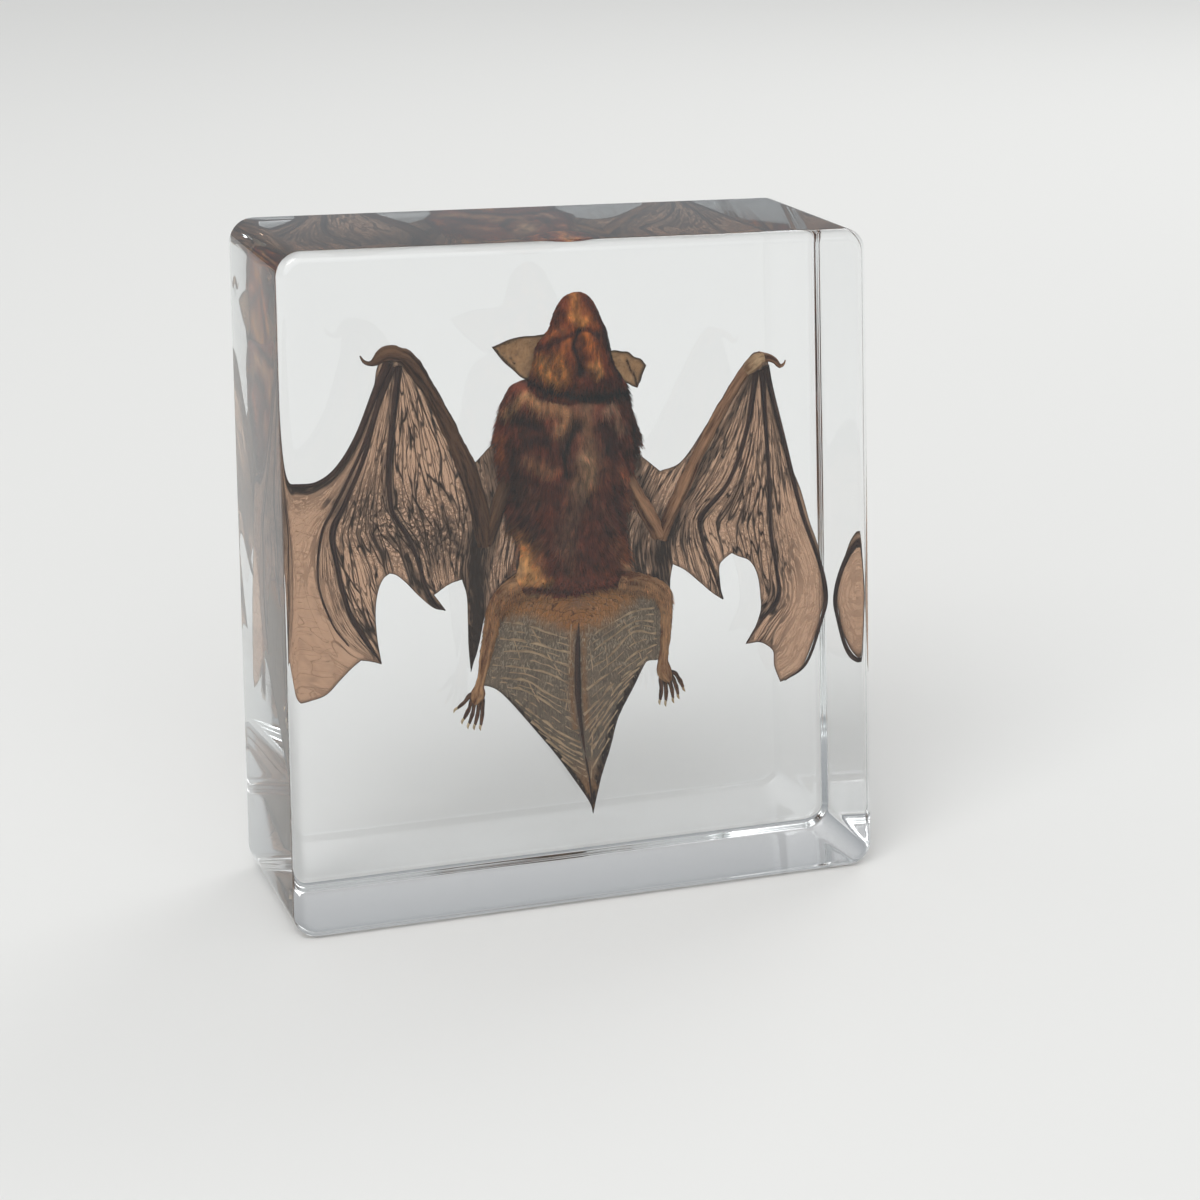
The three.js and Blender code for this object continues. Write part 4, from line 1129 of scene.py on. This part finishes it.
# Matted fur over skin: the coat's painted colour, broken into fine streaks that run down the body.
coatSkin, tree = newMaterial("matted fur on skin")
painted = addNode(tree, "ShaderNodeAttribute", {"attribute_name": "coat"})
place = addNode(tree, "ShaderNodeTexCoord")
comb = addNode(tree, "ShaderNodeMapping", {"Scale": (1.0, 1.0, 0.16)}, {"Vector": place.outputs["Object"]})
streak = addNode(
    tree, "ShaderNodeTexNoise", {"Scale": 1500.0, "Detail": 3.0, "Roughness": 0.6},  # 0.7 mm tufts
    {"Vector": comb},
)
depth = addNode(
    tree, "ShaderNodeMapRange", {"From Min": 0.3, "From Max": 0.7, "To Min": 0.6, "To Max": 1.15},
    {"Value": streak},
)
hue = addNode(tree, "ShaderNodeHueSaturation", {}, {"Color": painted.outputs["Color"], "Value": depth})
addNode(tree, "ShaderNodeOutputMaterial", {}, {"Surface": dullSurface(tree, hue, 0.7, 0.1)})

# Fur strands: root colour from the coat, a little lighter or darker from strand to strand.
coatStrand, tree = newMaterial("matted fur strands")
painted = addNode(tree, "ShaderNodeAttribute", {"attribute_name": "coat"})
tone = addNode(tree, "ShaderNodeAttribute", {"attribute_name": "tone"})
hue = addNode(
    tree, "ShaderNodeHueSaturation", {}, {"Color": painted.outputs["Color"], "Value": tone.outputs["Fac"]},
)
addNode(tree, "ShaderNodeOutputMaterial", {}, {"Surface": dullSurface(tree, hue, 0.6, 0.12, 0.4)})

# Fur: thin three-sided strands, laid along the combed direction.
furSizes = {label: "Float" for label in ("Density", "Length", "Radius", "Lift", "Darkest", "Palest")}
furTree, furInput = newNodeGroup("combed fur", furSizes | {"Seed": "Int", "Finish": "Material"})
share = addNode(furTree, "GeometryNodeInputNamedAttribute", {"data_type": "FLOAT", "Name": "share"})
thickset = addNode(
    furTree, "ShaderNodeMath", {"operation": "MULTIPLY"},
    {0: furInput.outputs["Density"], 1: share},
)
roots = addNode(
    furTree, "GeometryNodeDistributePointsOnFaces", {},
    {"Mesh": furInput, "Density": thickset, "Seed": furInput.outputs["Seed"]},
)
combed = addNode(furTree, "GeometryNodeInputNamedAttribute", {"data_type": "FLOAT_VECTOR", "Name": "comb"})
raised = addNode(
    furTree, "ShaderNodeVectorMath", {"operation": "SCALE"},
    {0: roots.outputs["Normal"], "Scale": furInput.outputs["Lift"]},
)
scatter = addNode(
    furTree, "FunctionNodeRandomValue",
    {"data_type": "FLOAT_VECTOR", 0: (-0.78, -0.78, -0.72), 1: (-0.42, -0.42, -0.48)},
)
spot = addNode(furTree, "GeometryNodeInputPosition")
drawn = addNode(
    furTree, "ShaderNodeVectorMath", {"operation": "MULTIPLY", 1: (1.0, 1.0, 0.4)}, {0: spot},
)
# 1.4 mm tufts
tuft = addNode(furTree, "ShaderNodeTexNoise", {"Scale": 700.0, "Detail": 1.0}, {"Vector": drawn})
together = addNode(
    furTree, "ShaderNodeVectorMath", {"operation": "MULTIPLY_ADD", 1: (1.2, 1.2, 1.2)},
    {0: tuft.outputs["Color"], 2: scatter},
)
leaning = addNode(furTree, "ShaderNodeVectorMath", {"operation": "ADD"}, {0: combed, 1: raised})
loose = addNode(furTree, "ShaderNodeVectorMath", {"operation": "ADD"}, {0: leaning, 1: together})
aim = addNode(furTree, "FunctionNodeAlignRotationToVector", {"axis": "Z"}, {"Vector": loose})
strand = addNode(
    furTree, "GeometryNodeMeshCone",
    {"Vertices": 3, "Side Segments": 2, "Fill Segments": 1, "Radius Top": 0.0, "Radius Bottom": 1.0,
     "Depth": 1.0},
)
where = addNode(furTree, "GeometryNodeInputPosition")
parts = addNode(furTree, "ShaderNodeSeparateXYZ", {}, {"Vector": where})
curl = addNode(furTree, "ShaderNodeMath", {"operation": "POWER", 1: 2.0}, {0: parts.outputs["Z"]})
bend = addNode(furTree, "ShaderNodeCombineXYZ", {}, {"X": curl})
bent = addNode(furTree, "GeometryNodeSetPosition", {}, {"Geometry": strand, "Offset": bend})
longer = addNode(furTree, "FunctionNodeRandomValue", {2: 0.55, 3: 1.3, "Seed": 3})
fuller = addNode(furTree, "ShaderNodeMath", {"operation": "MULTIPLY_ADD", 1: 0.6, 2: 0.4}, {0: share})
reachOut = addNode(
    furTree, "ShaderNodeMath", {"operation": "MULTIPLY"}, {0: fuller, 1: furInput.outputs["Length"]},
)
length = addNode(furTree, "ShaderNodeMath", {"operation": "MULTIPLY"}, {0: longer.outputs[1], 1: reachOut})
size = addNode(
    furTree, "ShaderNodeCombineXYZ", {},
    {"X": furInput.outputs["Radius"], "Y": furInput.outputs["Radius"], "Z": length},
)
# 0.8 mm locks
clump = addNode(furTree, "ShaderNodeTexNoise", {"Scale": 1300.0, "Detail": 2.0}, {"Vector": drawn})
lock = addNode(
    furTree, "ShaderNodeMapRange", {"From Min": 0.34, "From Max": 0.66},
    {"Value": clump, "To Min": furInput.outputs["Darkest"], "To Max": furInput.outputs["Palest"]},
)
single = addNode(furTree, "FunctionNodeRandomValue", {2: 0.8, 3: 1.3, "Seed": 5})
toneValue = addNode(furTree, "ShaderNodeMath", {"operation": "MULTIPLY"}, {0: lock, 1: single.outputs[1]})
toned = addNode(
    furTree, "GeometryNodeStoreNamedAttribute", {"data_type": "FLOAT", "domain": "POINT", "Name": "tone"},
    {"Geometry": roots, "Value": toneValue},
)
planted = addNode(
    furTree, "GeometryNodeInstanceOnPoints", {},
    {"Points": toned, "Instance": bent, "Rotation": aim, "Scale": size},
)
endNodeGroup(furTree, planted, furInput.outputs["Finish"])

fur = {"sides": 220, "radius": 0.00008, "lift": 0.16, "seed": 11, "strayRadius": 0.0001, "strayLift": 0.6,
       "tones": (0.58, 1.5)}


def makeBody(name, part):
    run = spline(part["stations"], 0.1)
    picks = np.linspace(0, len(run) - 1, part["rows"] + 1)
    rows = np.stack([np.interp(picks, np.arange(len(run)), column) for column in run.T], 1)
    sides, count = fur["sides"], len(rows)
    angles = np.linspace(0, 2 * math.pi, sides, endpoint=False)
    outwards = np.tile(np.stack([np.cos(angles), -np.sin(angles), 0 * angles], 1), (count, 1))
    x, z, wide, deep = [np.repeat(column, sides) for column in rows.T]
    middle = bodyDepth(z) + part["setback"]
    points = np.stack([x + wide * outwards[:, 0], middle + deep * outwards[:, 1], z], 1)
    colour, height = coatLook(name, points[:, [0, 2]], part["furLength"] / mm * 0.4)
    girth = np.array([
        noise.noise(Vector(p * (0.28, 0.28, 0.2))) + 0.5 * noise.noise(Vector(p * (0.9, 0.9, 0.3)))
        for p in points
    ])
    facing = np.clip(-outwards[:, 1], 0, 1)  # the ridges and hollows are on the side towards the viewer
    points = points + outwards * (girth * part["lumps"] + height * facing ** 2)[:, None]
    faces = [
        (r * sides + k, (r + 1) * sides + k, (r + 1) * sides + (k + 1) % sides, r * sides + (k + 1) % sides)
        for r in range(count - 1) for k in range(sides)
    ]
    faces += [tuple(range(sides)), tuple(reversed(range((count - 1) * sides, count * sides)))]
    piece = makePiece(f"{name}_skin", points, faces, coatSkin)
    # parts over the belly
    spread = np.clip((x + wide * outwards[:, 0] - 3.4) / 9, -1, 1) * np.clip((70 - z) / 14, 0.1, 0.75)
    wave = 0.22 * noiseAt(points[:, [0, 2]], (0.35, 0.2), 4.4)
    edgewise = np.abs(outwards[:, [0]]) ** 4  # the coat stands off at the flanks
    down = np.stack([spread + wave, 0 * x, -1 + 0 * x], 1) + outwards * (0.08 + 0.75 * edgewise)
    # sparse and short at the hips
    share = (0.25 + 0.75 * np.clip(0.45 - outwards[:, 1], 0, 1)) * np.clip((z - 46) / 9, 0.3, 1)
    share *= 1 - foldMap(points[:, [0, 2]], coat[name]["bare"])
    giveCoat(piece, colour, share, down)
    return piece


for name, part in bodyParts.items():
    slot = "head_fur" if name == "head" else "fur"
    piece = makeBody(name, part)
    layers = {
        f"{name}_fur": {"Density": part["density"], "Length": part["furLength"], "Radius": fur["radius"],
                        "Lift": fur["lift"]},
        f"{name}_strays": {
            "Density": part["strayDensity"], "Length": part["strayLength"], "Radius": fur["strayRadius"],
            "Lift": fur["strayLift"],
        },
    }
    for layer, settings in layers.items():
        settings |= {"Darkest": fur["tones"][0], "Palest": fur["tones"][1],
                     "Seed": fur["seed"] + len(layer), "Finish": coatStrand}
        strands = grow(piece, furTree, settings, layer)
        strands.data.shade_smooth()
        print("  strands on", layer, len(strands.data.polygons))
        finish(strands, slot)
    finish(piece, slot, name)
# Down on the thighs and shins, and on the tail skin below the hips.
for side, leg in legs.items():
    places = placesOf(leg["piece"])
    share = np.clip((places[:, 2] - 37) / 10, 0.1, 1)
    colours = np.tile(linear(leg["down"]), (len(places), 1))
    giveCoat(leg["piece"], colours, share, np.tile((0.0, 0.0, -1.0), (len(places), 1)))
    settings = {
        "Density": 1.3e7, "Length": 0.0009, "Radius": 0.00005, "Lift": 0.3, "Darkest": 0.4, "Palest": 1.5,
        "Seed": 3, "Finish": coatStrand,
    }
    finish(grow(leg["piece"], furTree, settings, f"leg_{side}_down"), "limb_skin")
places = placesOf(tailPiece)
flat = places[:, [0, 2]]
onTop = np.clip(foldMap(flat, [tail["downyTop"]]) + np.clip((flat[:, 1] - 45) / 2, 0, 1), 0, 1)
warm, rich, plain = [np.array(linear(shade)) for shade in ("#D0A674", "#AC6630", "#C6B69A")]
middle = np.exp(-((flat[:, 0] - 3.4) / 4.2) ** 2) * np.clip(0.8 + 0.7 * noiseAt(flat, (0.6, 0.6), 15.0), 0, 1)
colours = plain + onTop[:, None] * (warm + middle[:, None] * (rich - warm) - plain)
fan = np.stack([(flat[:, 0] - 4.3) * 0.05, 0 * flat[:, 0], -1 + 0 * flat[:, 0]], 1)
patchy = np.clip(0.6 + 1.4 * noiseAt(flat, (0.35, 0.9), 12.0), 0.15, 1)
downy = (0.04 + 0.3 * np.clip((flat[:, 1] - 30) / 8, 0, 1) * patchy + 0.32 * onTop) * (flat[:, 1] > 12)
giveCoat(tailPiece, colours, np.where(np.arange(len(flat)) < len(flat) // 2, downy, 0.15 * downy), fan)
settings = {
    "Density": 1.4e7, "Length": 0.001, "Radius": 0.00004, "Lift": 0.1, "Darkest": 0.6, "Palest": 1.35,
    "Seed": 4, "Finish": coatStrand,
}
downOnTail = finish(grow(tailPiece, furTree, settings, "tail_down"), "tail_skin")
print("  down on the tail", len(downOnTail.data.polygons))
print("stage: head, body and down")

# Pale floor, soft room light, and the camera where the photograph was taken from.
view = {
    "position": (-144.48, -505.99, 192.49), "pitch": -15.507, "yaw": -16.841, "roll": 1.606, "lens": 98.27,
}
studio = {
    "floorSize": 12.0, "floorDrop": 0.0002, "floor": "#E2E2E0", "top": "#FFFFFF", "low": "#B4B8BC",
    "strength": 0.6,
    "softboxAt": (-0.25, -0.9, 0.36), "softboxEdge": (0.72, 0.97), "softboxStrength": 3.0,
}

floorMesh = bpy.data.meshes.new("floor")
reach = studio["floorSize"] / 2
floorMesh.from_pydata(
    [(-reach, -reach, 0), (reach, -reach, 0), (reach, reach, 0), (-reach, reach, 0)], [], [(0, 1, 2, 3)],
)
floorMesh.transform(Matrix.Translation((0, 0, -studio["floorDrop"])))
floorPaint, tree = newMaterial("pale painted floor")
paint = addNode(tree, "ShaderNodeBsdfDiffuse", {"Color": linear(studio["floor"])})
addNode(tree, "ShaderNodeOutputMaterial", {}, {"Surface": paint})
floorMesh.materials.append(floorPaint)
floor = bpy.data.objects.new("floor", floorMesh)
scene.collection.objects.link(floor)

world = bpy.data.worlds.new("soft room")
scene.world = world
world.use_nodes = True
tree = world.node_tree
tree.nodes.clear()
facing = addNode(tree, "ShaderNodeTexCoord")
heights = addNode(tree, "ShaderNodeSeparateXYZ", {}, {"Vector": facing})
blendUp = addNode(
    tree, "ShaderNodeMapRange", {"From Min": 0.0, "From Max": 0.8}, {"Value": heights.outputs["Z"]},
)
sky = addNode(
    tree, "ShaderNodeMix", {"data_type": "RGBA", 6: linear(studio["low"]), 7: linear(studio["top"])},
    {0: blendUp},
)
towards = addNode(
    tree, "ShaderNodeVectorMath", {"operation": "DOT_PRODUCT", 1: Vector(studio["softboxAt"]).normalized()},
    {0: facing},
)
softbox = addNode(
    tree, "ShaderNodeMapRange",
    {"interpolation_type": "SMOOTHSTEP",
     "From Min": studio["softboxEdge"][0], "From Max": studio["softboxEdge"][1],
     "To Min": studio["strength"], "To Max": studio["strength"] + studio["softboxStrength"]},
    {"Value": towards.outputs["Value"]},
)
shine = addNode(tree, "ShaderNodeBackground", {}, {"Color": sky.outputs[2], "Strength": softbox})
addNode(tree, "ShaderNodeOutputWorld", {}, {"Surface": shine})

lamps = {
    "key": {"at": (-0.7, -0.9, 1.3), "size": 0.9, "power": 9.0},
    "back": {"at": (0.9, 0.8, 1.0), "size": 0.8, "power": 4.0},
}
for name, lamp in lamps.items():
    light = bpy.data.lights.new(name, "AREA")
    light.size = lamp["size"]
    light.energy = lamp["power"]
    holder = bpy.data.objects.new(name, light)
    holder.location = lamp["at"]
    holder.rotation_euler = (Vector((0, 0, 0.055)) - Vector(lamp["at"])).to_track_quat("-Z", "Y").to_euler()
    scene.collection.objects.link(holder)

turn = (
    Matrix.Rotation(math.radians(view["yaw"]), 3, "Z")
    @ Matrix.Rotation(math.radians(view["pitch"]), 3, "X")
    @ Matrix.Rotation(math.radians(view["roll"]), 3, "Y")
)
aimed = Matrix((turn.col[0], turn.col[2], -turn.col[1])).transposed()
camera = bpy.data.cameras.new("camera")
camera.lens = view["lens"]
camera.sensor_width = 36
camera.clip_start = 0.01
holder = bpy.data.objects.new("camera", camera)
holder.matrix_world = Matrix.Translation(Vector(view["position"]) * mm) @ aimed.to_4x4()
scene.collection.objects.link(holder)
scene.camera = holder
print("stage: floor, light and camera")
